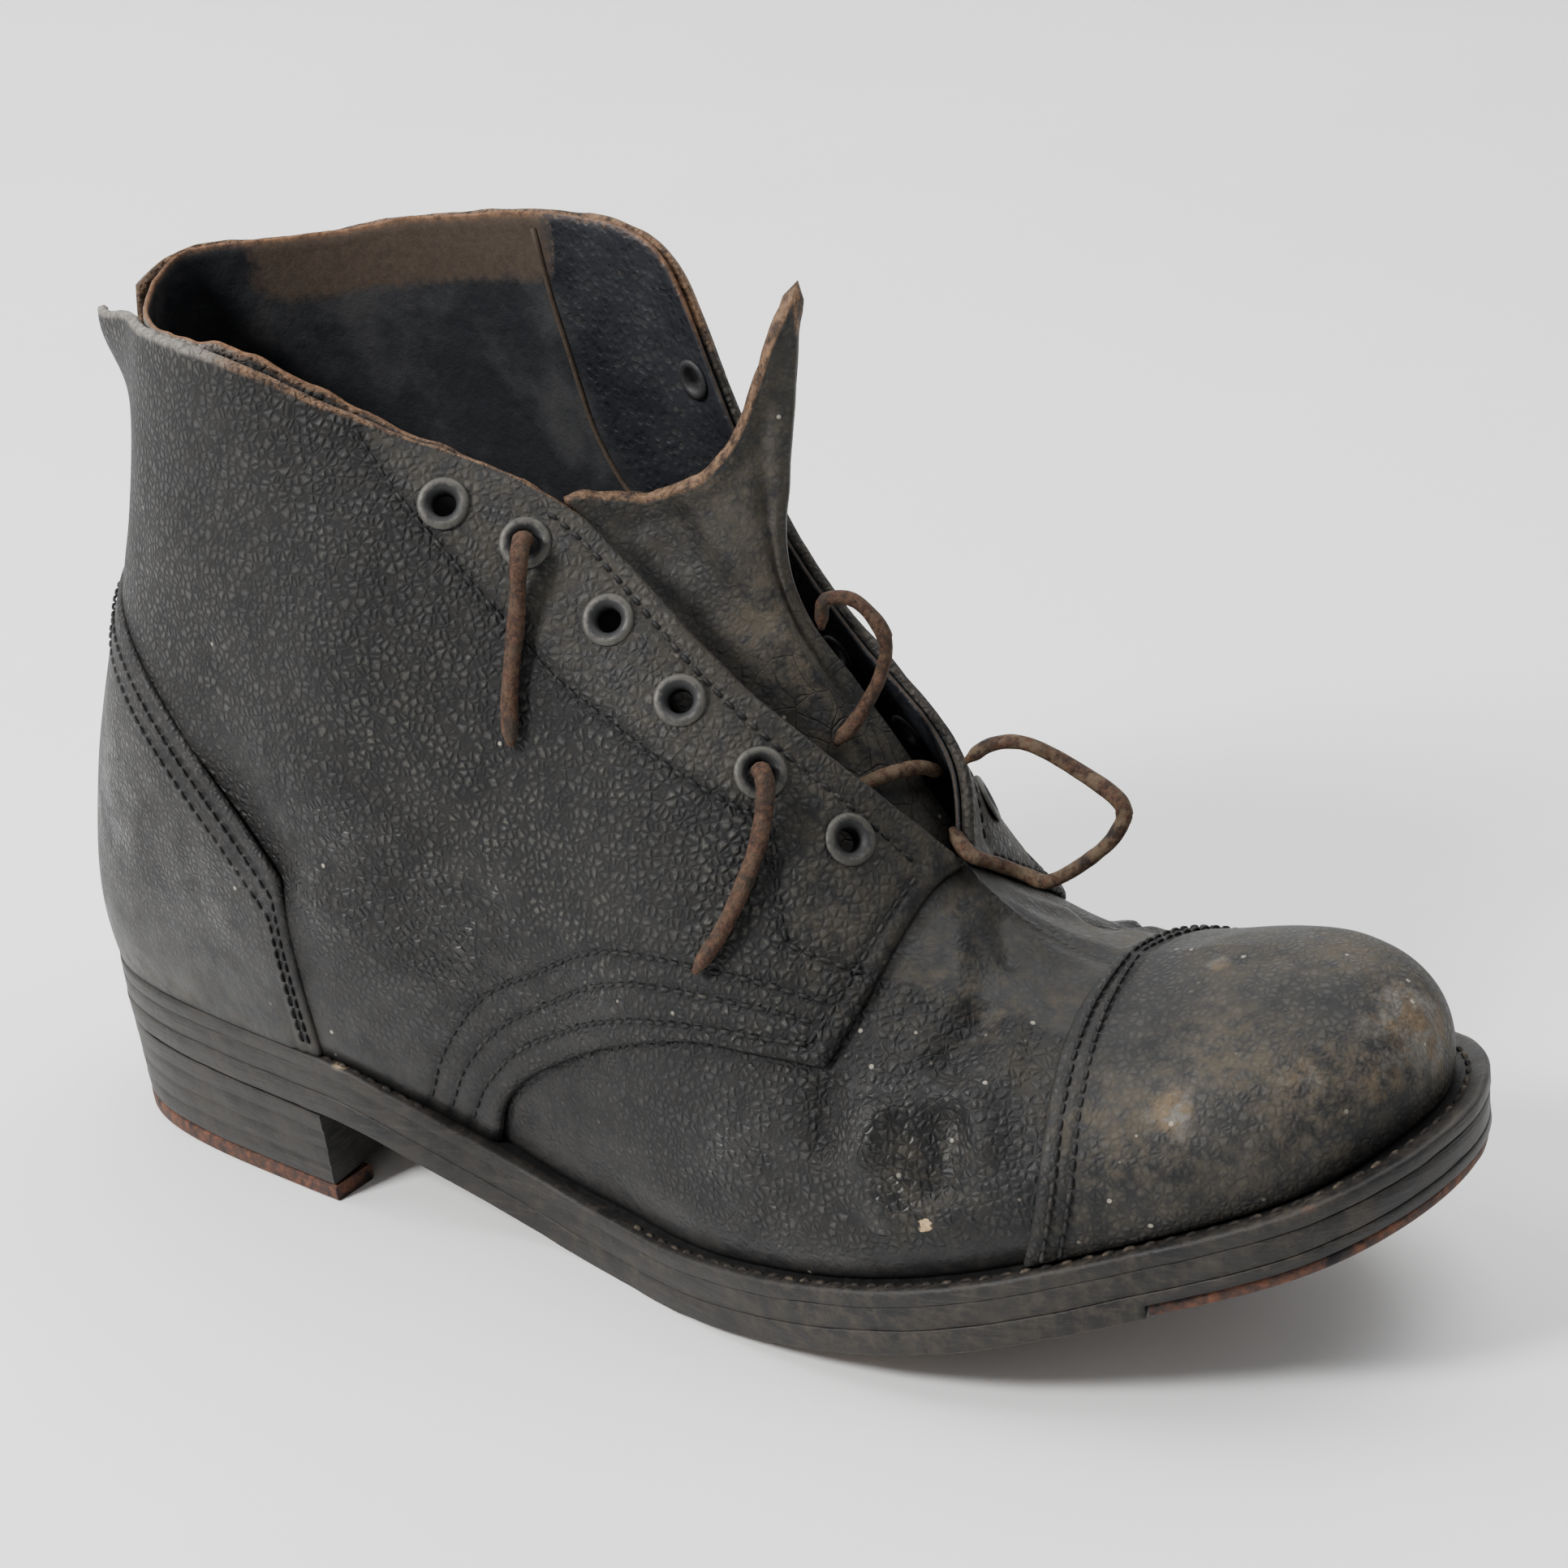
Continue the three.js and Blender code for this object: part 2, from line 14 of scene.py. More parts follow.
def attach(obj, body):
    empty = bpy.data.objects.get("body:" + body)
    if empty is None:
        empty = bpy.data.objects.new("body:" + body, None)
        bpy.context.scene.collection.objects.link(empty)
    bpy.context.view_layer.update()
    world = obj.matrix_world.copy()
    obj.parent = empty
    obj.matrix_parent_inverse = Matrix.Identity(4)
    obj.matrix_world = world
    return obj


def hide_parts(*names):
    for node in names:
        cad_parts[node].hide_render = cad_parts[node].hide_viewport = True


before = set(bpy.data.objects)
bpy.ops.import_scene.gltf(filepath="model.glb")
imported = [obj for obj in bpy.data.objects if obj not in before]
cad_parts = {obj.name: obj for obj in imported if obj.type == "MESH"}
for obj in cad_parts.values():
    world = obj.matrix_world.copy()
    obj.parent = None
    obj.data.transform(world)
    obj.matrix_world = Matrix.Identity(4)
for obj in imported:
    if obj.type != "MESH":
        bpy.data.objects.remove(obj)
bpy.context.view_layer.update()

# ---- The boot's own sizes, as in the CAD source ----
TOE_TIP = 300
HEEL_CENTRE = 42
HEEL_HEIGHT = 20.4
HEEL_BREAST = 82
HEEL_SLOPE = 0.03
TREAD_START = 145
TREAD_END = 159
TOE_SPRING = 34
SPRING_CURVE = 1.55
OUTSOLE = 5
MIDSOLE = 4.2
WELT = 3.2
GAP = 0.3
WALL = 2.4
OVERLAY = 1.7
WELT_WIDTH = 3.2
HEEL_TOP_INSET = 0.2
HEEL_BASE_INSET = 0.6
HEEL_IRON = 3.5
IRON_WIDTH = 10
TOE_IRON = 2.4
TOE_IRON_WIDTH = 14
TOE_IRON_INSET = 0.6
TONGUE = 2.2
EYELETS = {
    "lateral": {"up": [118.5, 103, 83, 63.5, 45, 25.5], "inset": 9.6},
    "medial": {"up": [115, 97, 78, 59, 40, 21], "inset": 12},
}
EYELET_HOLE = 2.2
EYELET_BARREL = 2.9
EYELET_FLANGE = 4.9
MIDSOLE_AT = OUTSOLE + GAP
WELT_AT = MIDSOLE_AT + MIDSOLE + GAP
SEAT_AT = WELT_AT + WELT + GAP
# The heel counter: its reach in ribs either side of the back, its height at the sides and at the back as shares
# of a rib, and how square its top line is.
COUNTER_REACH = 3.5
COUNTER_SIDE = 0.3
COUNTER_PEAK = 0.68
COUNTER_SQUARE = 2.4
# The toe cap's seam, in ribs at the sole and how far it leans forward up to the crown.
CAP_START = 8.38
CAP_LEAN = 0.72
# Distances of the two stitch rows from the edge of each overlay, in millimetres.
CAP_ROWS = (2.2, 5.0)
COUNTER_ROWS = (2.6, 5.6)

# Ribs of the last: the sole's edge, then how the rib starts, ends and where its top is.
RIBS = [
    ((7, 2), (2.4, 5.6, 36), (-11, 0, -64), (41, 1, 173.5)),
    ((16, -19.5), (2.4, 5, 36), (-9, -4, -64), (52, -14, 171)),
    ((39, -30.5), (2.4, 4, 34), (-5, -6, -64), (70, -25, 171.5)),
    ((69, -36), (2.4, 2.5, 38), (-2, -8, -56), (91, -28, 168)),
    ((100, -38.5), (3, 3, 42), (-5, -24, -12), (114, -18, 154.5)),
    ((132, -35.2), (4, 5, 42), (-4, -24, -9), (142, -10, 141)),
    ((164, -43.5), (4, 7, 34), (-4, -22, -14), (170, -14, 119)),
    ((196, -50), (4, 8, 26), (-3, -24, -14), (196, -10, 95.5)),
    ((229, -49.5), (4.5, 7, 22), (0, -26, -6), (212, 2, 74)),
    ((260, -40), (5.5, 5, 21), (3, -26, -1), (235, 5, 60.5)),
    ((288.5, -27), (8, 4, 20), (15, -19, 1), (252, 6, 63)),
    ((301.8, 3), (8.6, 4, 18), (18, 0, 1), (262, 6.5, 65)),
    ((288.5, 30.5), (7.2, 4, 20), (15, 19, 1), (252, 6, 63)),
    ((262, 41), (5.5, 5, 21), (3, 24, -6), (235, 5, 60.5)),
    ((232, 50), (4.5, 7, 22), (2, 19, -19), (212, 2, 74)),
    ((201, 53), (4, 7, 26), (0, 12, -25), (203, 13, 92.5)),
    ((168, 43.5), (4, 5, 34), (-2, 12, -34), (175, 17.5, 122)),
    ((134, 34), (4, 3, 42), (-4, 8, -50), (156, 20, 164)),
    ((100, 32), (3, 2, 42), (-8, 8, -65), (138, 23, 182.5)),
    ((66, 34), (2.4, 2.5, 38), (-5, 7, -68), (93, 28, 181.5)),
    ((37, 32.5), (2.4, 4, 34), (-6, 6, -66), (62, 25, 178.5)),
    ((15, 22), (2.4, 5, 36), (-9, 4, -66), (43, 14, 178)),
]
RIB_COUNT = len(RIBS)
TOE = RIB_COUNT / 2
THROAT = 8


def at(points):
    """Millimetres from the datum line to the row's metres."""
    p = np.asarray(points, float) / 1000
    return p - np.array([HEEL_CENTRE / 1000, 0, 0])


def unit(a):
    return a / np.maximum(np.linalg.norm(a, axis=-1, keepdims=True), 1e-12)


def ease(t):
    t = np.clip(t, 0, 1)
    return t * t * (3 - 2 * t)


def mix(a, b, t):
    return a + (b - a) * t


def bell(x, width):
    """1 at x = 0, falling smoothly on both sides."""
    return np.exp(-((x / width) ** 2))


def with_height(ring, z):
    """Plan points with their heights."""
    return np.concatenate([ring, z[:, None]], 1)


def numbered(points):
    """The number of each point of a grid, row by row."""
    return np.arange(points.shape[0] * points.shape[1]).reshape(points.shape[:2])


def closed_curve(points):
    """A smooth closed curve through points, as a function of the rib number."""
    points = np.array(points, float)
    slopes = np.zeros_like(points)
    count = len(points)
    for _ in range(60):
        chord = np.roll(points, -1, 0) - np.roll(points, 1, 0)
        slopes = (3 * chord - np.roll(slopes, 1, 0) - np.roll(slopes, -1, 0)) / 4

    def value(w):
        w = np.asarray(w, float)
        i = np.floor(w).astype(int)
        t = (w - i)[..., None]
        a, b = i % count, (i + 1) % count
        s = t * t * (3 - 2 * t)
        bend = t * (1 - t) ** 2 * slopes[a] - t * t * (1 - t) * slopes[b]
        return points[a] * (1 - s) + points[b] * s + bend

    return value


edge_curve, low_curve, high_curve, top_curve = [closed_curve([r[k] for r in RIBS]) for k in range(4)]


def underside(x):
    shank = HEEL_HEIGHT * ease((TREAD_START - x) / (TREAD_START - HEEL_BREAST))
    z = np.where(x < HEEL_BREAST, HEEL_HEIGHT + (HEEL_BREAST - x) * HEEL_SLOPE, shank)
    rise = TOE_SPRING * (np.clip((x - TREAD_END) / (TOE_TIP - TREAD_END), 0, None)) ** SPRING_CURVE
    return np.where(x > TREAD_END, rise, z)


def outward(w):
    a, b = edge_curve(w - 0.01), edge_curve(w + 0.01)
    return unit(np.stack([b[..., 1] - a[..., 1], a[..., 0] - b[..., 0]], -1))


def sole_edge(w, inset):
    return edge_curve(w) - outward(w) * np.asarray(inset, float)[..., None]


def feather(w):
    return low_curve(w)[..., 0]


def top_line(w):
    p, q = top_curve(w), top_curve((RIB_COUNT - w) % RIB_COUNT)
    ridge = ((w >= THROAT) & (w <= RIB_COUNT - THROAT))[..., None]
    return np.where(ridge, (p + q) / 2, p)


def last_point(w, v):
    w, v = np.broadcast_arrays(np.asarray(w, float), np.asarray(v, float))
    low = low_curve(w)
    foot = sole_edge(w, low[..., 0])
    base = np.concatenate([foot, (underside(foot[..., 0]) + SEAT_AT)[..., None]], -1)
    near = base + np.concatenate([outward(w) * low[..., 1:2], low[..., 2:3]], -1)
    top = top_line(w)
    far = top + high_curve(w)
    v = v[..., None]
    u = 1 - v
    return u**3 * base + 3 * u * u * v * near + 3 * u * v * v * far + v**3 * top


def face_direction(w, v):
    v = np.minimum(v, 0.97)
    across = last_point(w + 0.01, v) - last_point(w - 0.01, v)
    up = last_point(w, v + 0.01) - last_point(w, np.maximum(0, v - 0.01))
    return unit(np.cross(across, up))


def skin(w, v, out):
    """Points a distance outside the outer face of the last."""
    w, v = np.broadcast_arrays(np.asarray(w, float), np.asarray(v, float))
    n = face_direction(w, v)
    crown = ((v > 0.97) & (w >= THROAT) & (w <= RIB_COUNT - THROAT))[..., None]
    n = np.where(crown, unit(n + face_direction(RIB_COUNT - w, v)), n)
    p = last_point(w, v) + n * np.broadcast_to(np.asarray(out, float), w.shape)[..., None]
    p[..., 2] = np.where(v <= 0, underside(p[..., 0]) + SEAT_AT, p[..., 2])
    return p


# ---- Soft noise on points, in millimetres ----
def noise(points, size, seed=0):
    """Smooth value noise from -1 to 1, with features of the given size."""
    q = np.asarray(points, float) / size + 37.7 * (seed + 1)
    i = np.floor(q).astype(np.int64)
    f = q - i
    f = f * f * (3 - 2 * f)
    total = np.zeros(q.shape[:-1])
    for corner in range(8):
        d = np.array([corner & 1, (corner >> 1) & 1, (corner >> 2) & 1])
        c = i + d
        h = (c[..., 0] * 374761393 + c[..., 1] * 668265263 + c[..., 2] * 2147483647 + seed * 974634777) & 0x7FFFFFFF
        h = ((h ^ (h >> 13)) * 1274126177) & 0x7FFFFFFF
        value = ((h ^ (h >> 16)) & 0xFFFF) / 32767.5 - 1
        weight = np.prod(np.where(d == 1, f, 1 - f), -1)
        total += value * weight
    return total


def rough_noise(points, size, seed=0):
    coarse, middle = noise(points, size, seed), noise(points, size / 2, seed + 5)
    return coarse * 0.6 + middle * 0.3 + noise(points, size / 4, seed + 9) * 0.15


def spots(points, places):
    """How much each point is inside the placed spots. A place is x, y, z, radius and strength."""
    total = np.zeros(points.shape[:-1])
    wobble = rough_noise(points, 7, 3)
    for x, y, z, radius, strength in places:
        d = np.linalg.norm(points - np.array([x, y, z]), axis=-1) / radius
        total = np.maximum(total, strength * ease(1.25 - d + 0.35 * wobble))
    return total


# ---- Meshes ----
def make_object(name, points, faces, material=None, smooth=True, facts=None):
    mesh = bpy.data.meshes.new(name)
    mesh.from_pydata([tuple(p) for p in at(points)], [], [tuple(int(k) for k in f) for f in faces])
    mesh.validate()
    for key, values in (facts or {}).items():
        attribute = mesh.attributes.new(key, "FLOAT", "POINT")
        attribute.data.foreach_set("value", np.asarray(values, np.float32).ravel())
    if smooth:
        mesh.polygons.foreach_set("use_smooth", [True] * len(mesh.polygons))
    obj = bpy.data.objects.new(name, mesh)
    bpy.context.scene.collection.objects.link(obj)
    if material:
        mesh.materials.append(material)
    return obj


def grid_faces(names, wrap_columns=False):
    """Quads of a grid of point numbers, with squeezed corners dropped."""
    if wrap_columns:
        names = np.concatenate([names, names[:, :1]], 1)
    a, b, c, d = names[:-1, :-1], names[:-1, 1:], names[1:, 1:], names[1:, :-1]
    faces = []
    for quad in np.stack([a, b, c, d], -1).reshape(-1, 4):
        kept = [k for n, k in enumerate(quad) if k != quad[n - 1]]
        if len(set(kept)) >= 3:
            faces.append(kept)
    return faces


def sheet_solid(name, outer, inner, material, facts=None, bulge=0.35, wrap_columns=False, joined=None):
    """A closed sheet between two point grids, with a rounded rim.

    joined(j) gives the twin of column j on the last row."""
    rows, columns = outer.shape[:2]
    names = numbered(outer)
    if joined is not None:
        for j in range(columns):
            names[-1, j] = names[-1, joined(j)]
    n = rows * columns
    points = [outer.reshape(-1, 3), inner.reshape(-1, 3)]
    faces = grid_faces(names, wrap_columns)
    faces += [[k + n for k in f[::-1]] for f in grid_faces(names, wrap_columns)]
    directed = {}
    for f in grid_faces(names, wrap_columns):
        for a, b in zip(f, f[1:] + f[:1]):
            directed[(int(a), int(b))] = True
    rim = [e for e in directed if (e[1], e[0]) not in directed]
    flat_outer, flat_inner = points
    follow = {a: b for a, b in rim}
    before = {b: a for a, b in rim}
    extra, number = [], {}
    for a, b in rim:
        for k in (a, b):
            if k not in number:
                along = flat_outer[follow.get(k, k)] - flat_outer[before.get(k, k)]
                thick = flat_outer[k] - flat_inner[k]
                out = np.cross(along, thick)
                out = out / max(np.linalg.norm(out), 1e-9) * np.linalg.norm(thick) * bulge
                number[k] = 2 * n + len(extra)
                extra.append((flat_outer[k] + flat_inner[k]) / 2 + out)
    for a, b in rim:
        faces.append([b, a, number[a], number[b]])
        faces.append([number[b], number[a], a + n, b + n])
    if extra:
        points.append(np.array(extra))
    full = {}
    for key, values in (facts or {}).items():
        values = np.asarray(values, float).reshape(-1)
        rim_values = [values[k] for k in number]
        full[key] = np.concatenate([values, values, rim_values])
    edge_fact = np.concatenate([np.zeros(2 * n), np.ones(len(extra))])
    for a, _ in rim:
        edge_fact[a] = 0.6
        edge_fact[a + n] = 0.6
    full["cut_edge"] = edge_fact
    return make_object(name, np.concatenate(points), faces, material, facts=full)


def travelled(line):
    """How far along the line each of its points is."""
    return np.concatenate([[0], np.cumsum(np.linalg.norm(np.diff(line, axis=0), axis=1))])


def spline(points, count):
    """An even smooth curve through the points."""
    p = np.asarray(points, float)
    p = np.concatenate([[2 * p[0] - p[1]], p, [2 * p[-1] - p[-2]]])
    out = []
    last = len(p) - 3
    for k in range(1, last + 1):
        t = np.linspace(0, 1, 40, endpoint=False)[:, None]
        a, b, c, d = p[k - 1], p[k], p[k + 1], p[k + 2]
        second, third = 2 * a - 5 * b + 4 * c - d, 3 * b - a - 3 * c + d
        out.append(0.5 * (2 * b + (c - a) * t + second * t**2 + third * t**3))
    out = np.concatenate(out + [p[last + 1][None]])
    gone = travelled(out)
    want = np.linspace(0, gone[-1], count)
    return np.stack([np.interp(want, gone, out[:, k]) for k in range(out.shape[1])], -1)


def tube(name, path, radius_at, material, sides=10, flatten=1.0, facts=None, up=(0, 0, 1)):
    """A tube along a path with a radius for each point, closed at both ends."""
    path = np.asarray(path, float)
    tangent = unit(np.gradient(path, axis=0))
    side = np.cross(tangent, np.broadcast_to(np.array(up, float), tangent.shape))
    for k in range(1, len(side)):
        side[k] = side[k] if np.linalg.norm(side[k]) > 0.2 else side[k - 1]
        side[k] = side[k] * (1 if side[k] @ side[k - 1] >= 0 else -1)
    side = unit(side)
    other = unit(np.cross(side, tangent))
    radii = np.broadcast_to(np.asarray(radius_at, float), (len(path),))
    angles = np.linspace(0, 2 * np.pi, sides, endpoint=False)
    ring = side[:, None] * np.cos(angles)[None, :, None]
    ring = ring + flatten * other[:, None] * np.sin(angles)[None, :, None]
    points = path[:, None] + ring * radii[:, None, None]
    names = numbered(points)
    faces = [f[::-1] for f in grid_faces(names, True)]
    first, last = names.size, names.size + 1
    faces += [[first, int(names[0, k]), int(names[0, (k + 1) % sides])] for k in range(sides)]
    faces += [[last, int(names[-1, (k + 1) % sides]), int(names[-1, k])] for k in range(sides)]
    everything = np.concatenate([points.reshape(-1, 3), path[:1], path[-1:]])
    return make_object(name, everything, faces, material, facts=facts)


def add_thread(points, faces, path, side, up, radii):
    """Adds one short thread of five rings, a little flattened, to the lists of points and faces."""
    base, sides = len(points), 6
    for m in range(5):
        for a in np.linspace(0, 2 * np.pi, sides, endpoint=False):
            points.append(path[m] + (side[m] * math.cos(a) + up[m] * math.sin(a) * 0.8) * radii[m])
    for m in range(4):
        row, above = base + m * sides, base + (m + 1) * sides
        for a in range(sides):
            b = (a + 1) % sides
            faces.append([row + a, row + b, above + b, above + a])
    faces.append([base + a for a in range(sides)][::-1])
    faces.append([base + 4 * sides + a for a in range(sides)])


def stitches(name, paths, material, pitch=3.0, stitch=2.3, width=0.75, proud=0.25, seed=0):
    """Short threads sunk at their ends, one joined mesh. A path is points as w and v, and their height."""
    spin = np.random.default_rng(seed)
    points, faces = [], []
    for wv, height in paths:
        line = skin(wv[:, 0], wv[:, 1], height)
        normal = face_direction(wv[:, 0], wv[:, 1])
        gone = travelled(line)
        count = max(2, int(gone[-1] / pitch))
        for k in range(count):
            middle = (k + 0.5) * gone[-1] / count + spin.normal(0, 0.08)
            reach = np.clip(middle + stitch * np.array([-0.5, -0.3, 0, 0.3, 0.5]), 0, gone[-1])
            p = np.stack([np.interp(reach, gone, line[:, c]) for c in range(3)], -1)
            n = unit(np.stack([np.interp(reach, gone, normal[:, c]) for c in range(3)], -1))
            lift = np.array([-0.45, 0.1, 0.2, 0.1, -0.45]) * width + proud
            p = p + n * lift[:, None]
            t = unit(np.gradient(p, axis=0))
            s = unit(np.cross(t, n))
            radii = width / 2 * np.array([0.55, 0.95, 1, 0.95, 0.55])
            add_thread(points, faces, p, s, n, radii)
    return make_object(name, np.array(points), faces, material)


# ---- Materials ----
class Material:
    """A short way to write a node material."""

    def __init__(self, name, roughness=0.6, metallic=0.0, **sockets):
        self.material = bpy.data.materials.new(name)
        self.material.use_nodes = True
        self.tree = self.material.node_tree
        self.shader = self.tree.nodes["Principled BSDF"]
        self.shader.inputs["Roughness"].default_value = roughness
        self.shader.inputs["Metallic"].default_value = metallic
        for key, value in sockets.items():
            self.shader.inputs[key.replace("_", " ")].default_value = value
        self.place = self.tree.nodes.new("ShaderNodeTexCoord").outputs["Object"]

    def link(self, value, socket):
        if isinstance(value, bpy.types.NodeSocket):
            self.tree.links.new(value, socket)
        else:
            socket.default_value = value

    def noise(self, size, detail=4.0, rough=0.55, stretch=None):
        node = self.tree.nodes.new("ShaderNodeTexNoise")
        node.inputs["Scale"].default_value = 1000 / size
        node.inputs["Detail"].default_value = detail
        node.inputs["Roughness"].default_value = rough
        self.link(self.stretched(stretch), node.inputs["Vector"])
        return node.outputs["Fac"]

    def stretched(self, stretch):
        if stretch is None:
            return self.place
        node = self.tree.nodes.new("ShaderNodeMapping")
        node.inputs["Scale"].default_value = stretch
        self.link(self.place, node.inputs["Vector"])
        return node.outputs["Vector"]

    def cells(self, size, feature="F1", warp=0.0):
        node = self.tree.nodes.new("ShaderNodeTexVoronoi")
        node.feature = feature
        node.inputs["Scale"].default_value = 1000 / size
        vector = self.place
        if warp:
            shift = self.tree.nodes.new("ShaderNodeTexNoise")
            shift.inputs["Scale"].default_value = 1000 / (size * 2.2)
            shift.inputs["Detail"].default_value = 1.0
            self.link(vector, shift.inputs["Vector"])
            scaled = self.tree.nodes.new("ShaderNodeVectorMath")
            scaled.operation = "SCALE"
            scaled.inputs["Scale"].default_value = warp * size / 1000
            self.link(shift.outputs["Color"], scaled.inputs[0])
            added = self.tree.nodes.new("ShaderNodeVectorMath")
            self.link(vector, added.inputs[0])
            self.link(scaled.outputs[0], added.inputs[1])
            vector = added.outputs[0]
        self.link(vector, node.inputs["Vector"])
        return node.outputs["Distance"]

    def fact(self, name):
        node = self.tree.nodes.new("ShaderNodeAttribute")
        node.attribute_name = name
        return node.outputs["Fac"]

    def math(self, operation, a, b=0.0, clamp=False):
        node = self.tree.nodes.new("ShaderNodeMath")
        node.operation = operation
        node.use_clamp = clamp
        self.link(a, node.inputs[0])
        self.link(b, node.inputs[1])
        return node.outputs[0]

    def times(self, a, b, clamp=False):
        return self.math("MULTIPLY", a, b, clamp)

    def plus(self, a, b, clamp=False):
        return self.math("ADD", a, b, clamp)

    def minus(self, a, b, clamp=False):
        return self.math("SUBTRACT", a, b, clamp)

    def between(self, value, low, high):
        node = self.tree.nodes.new("ShaderNodeMapRange")
        node.interpolation_type = "SMOOTHSTEP"
        node.inputs["From Min"].default_value = low
        node.inputs["From Max"].default_value = high
        self.link(value, node.inputs["Value"])
        return node.outputs["Result"]

    def blend(self, amount, a, b):
        node = self.tree.nodes.new("ShaderNodeMix")
        node.data_type = "RGBA"
        self.link(amount, node.inputs["Factor"])
        for value, socket in ((a, node.inputs["A"]), (b, node.inputs["B"])):
            sockets = [s for s in node.inputs if s.name == socket.name and s.type == "RGBA"]
            if isinstance(value, tuple) and len(value) == 3:
                value = (*value, 1)
            self.link(value, sockets[0])
        return [s for s in node.outputs if s.type == "RGBA"][0]

    def bumps(self, *layers):
        """Each layer is a height from 0 to 1 and its depth in millimetres."""
        before = None
        for height, depth in layers:
            node = self.tree.nodes.new("ShaderNodeBump")
            node.inputs["Strength"].default_value = 1.0
            node.inputs["Distance"].default_value = depth / 1000
            self.link(height, node.inputs["Height"])
            if before is not None:
                self.link(before, node.inputs["Normal"])
            before = node.outputs["Normal"]
        self.link(before, self.shader.inputs["Normal"])

    def colour(self, value):
        self.link(value, self.shader.inputs["Base Color"])

    def roughness(self, value):
        self.link(value, self.shader.inputs["Roughness"])


def upper_leather(name, grain_depth, dark, worn, dust, gloss_low, gloss_high, grain_size=2.0):
    """Black pebbled leather with dark pits, rubbed grey on its high spots.

    The facts on the mesh place the wear, and the painted highlight that some worn spots also carry."""
    m = Material(name, Specular_IOR_Level=0.27)
    pits = m.between(m.cells(grain_size, "DISTANCE_TO_EDGE", warp=0.6), 0.0, 0.38)
    small = m.between(m.noise(grain_size * 0.5, 3, 0.6), 0.3, 0.6)
    tops = m.times(pits, m.plus(0.65, m.times(small, 0.35)))
    fine = m.noise(0.55, 3, 0.6)
    broad = m.noise(24, 4, 0.55)
    middle = m.noise(6, 4, 0.6)
    blotch = m.noise(3.2, 5, 0.7)
    grain = m.minus(1.0, m.fact("smooth"), clamp=True)
    deep = m.times(m.minus(1.0, tops), grain)
    rubbed = m.plus(m.times(tops, grain), m.times(m.minus(1.0, grain), 0.55))
    uneven = m.between(m.plus(broad, m.times(middle, 0.5)), 0.52, 0.98)
    base = m.blend(uneven, (*dark, 1), tuple(x * 2.0 for x in dark))
    # The worn colour lightens the worn spots: real rubbing, and on the outer quarter's middle also a painted
    # highlight.
    wear = m.times(m.fact("worn"), m.between(m.plus(middle, m.times(fine, 0.5)), 0.35, 1.1))
    base = m.blend(m.times(m.times(rubbed, rubbed), wear, clamp=True), base, worn)
    base = m.blend(m.times(deep, 0.8), base, tuple(x * 0.3 for x in dark))
    dusty = m.times(m.fact("dust"), m.between(m.plus(blotch, m.times(broad, 0.4)), 0.56, 0.86), clamp=True)
    base = m.blend(m.times(dusty, 0.85), base, dust)
    scuffs = m.between(m.plus(m.fact("tan"), m.minus(m.noise(3.2, 7, 0.78), 0.78)), 0.1, 0.7)
    ochre = m.blend(m.noise(1.3, 3), (0.055, 0.038, 0.023, 1), (0.2, 0.14, 0.08, 1))
    chalk = m.blend(m.noise(1.0, 3), (0.06, 0.055, 0.047, 1), (0.22, 0.2, 0.17, 1))
    base = m.blend(
        m.times(scuffs, 0.85), base, m.blend(m.between(m.noise(5, 4, 0.7), 0.46, 0.56), ochre, chalk),
    )
    cracks = m.times(m.between(m.cells(5.5, "DISTANCE_TO_EDGE", warp=1.2), 0.035, 0.0), m.fact("cracked"))
    base = m.blend(cracks, base, (0.006, 0.006, 0.006))
    specks = m.between(m.cells(5.2, "F1"), 0.1, 0.06)
    here = m.between(m.plus(m.noise(14, 2), m.times(m.fact("specks"), 0.35)), 0.58, 0.7)
    base = m.blend(m.times(m.times(specks, here), 0.6), base, (0.4, 0.36, 0.29))
    ragged = m.times(m.minus(m.noise(0.9, 3), 0.5), 0.9)
    base = m.blend(
        m.between(m.plus(m.fact("mud"), ragged), 0.35, 0.6), base,
        m.blend(m.noise(1.2, 4), (0.3, 0.19, 0.09, 1), (0.55, 0.4, 0.22, 1)),
    )
    base = m.blend(m.fact("shade"), base, (0.003, 0.003, 0.003))
    raw = m.times(m.fact("cut_edge"), m.fact("raw"))
    tan_edge = m.blend(
        m.between(m.noise(2.4, 6, 0.8), 0.35, 0.68), (0.018, 0.01, 0.007, 1), (0.2, 0.115, 0.062, 1),
    )
    pale_edge = m.blend(
        m.between(m.noise(2.0, 6, 0.8), 0.3, 0.7), (0.05, 0.042, 0.035, 1), (0.26, 0.24, 0.21, 1),
    )
    base = m.blend(m.between(raw, 0.2, 0.6), base, m.blend(m.fact("pale"), tan_edge, pale_edge))
    m.colour(base)
    polish = m.times(m.fact("polish"), m.between(middle, 0.15, 0.65), clamp=True)
    rough = m.minus(gloss_high, m.times(polish, gloss_high - gloss_low))
    rough = m.plus(rough, m.times(dusty, 0.3))
    rough = m.plus(rough, m.times(m.plus(deep, m.minus(fine, 0.5)), 0.22), clamp=True)
    m.roughness(rough)
    fuzz = m.plus(raw, m.times(scuffs, 0.3))
    m.bumps(
        (m.noise(9, 3, 0.5), 0.6),
        (m.times(tops, grain), grain_depth),
        (fine, 0.06),
        (m.minus(1.0, cracks), 0.3),
        (m.times(m.noise(0.8, 4, 0.7), fuzz), 0.7),
    )
    return m.material


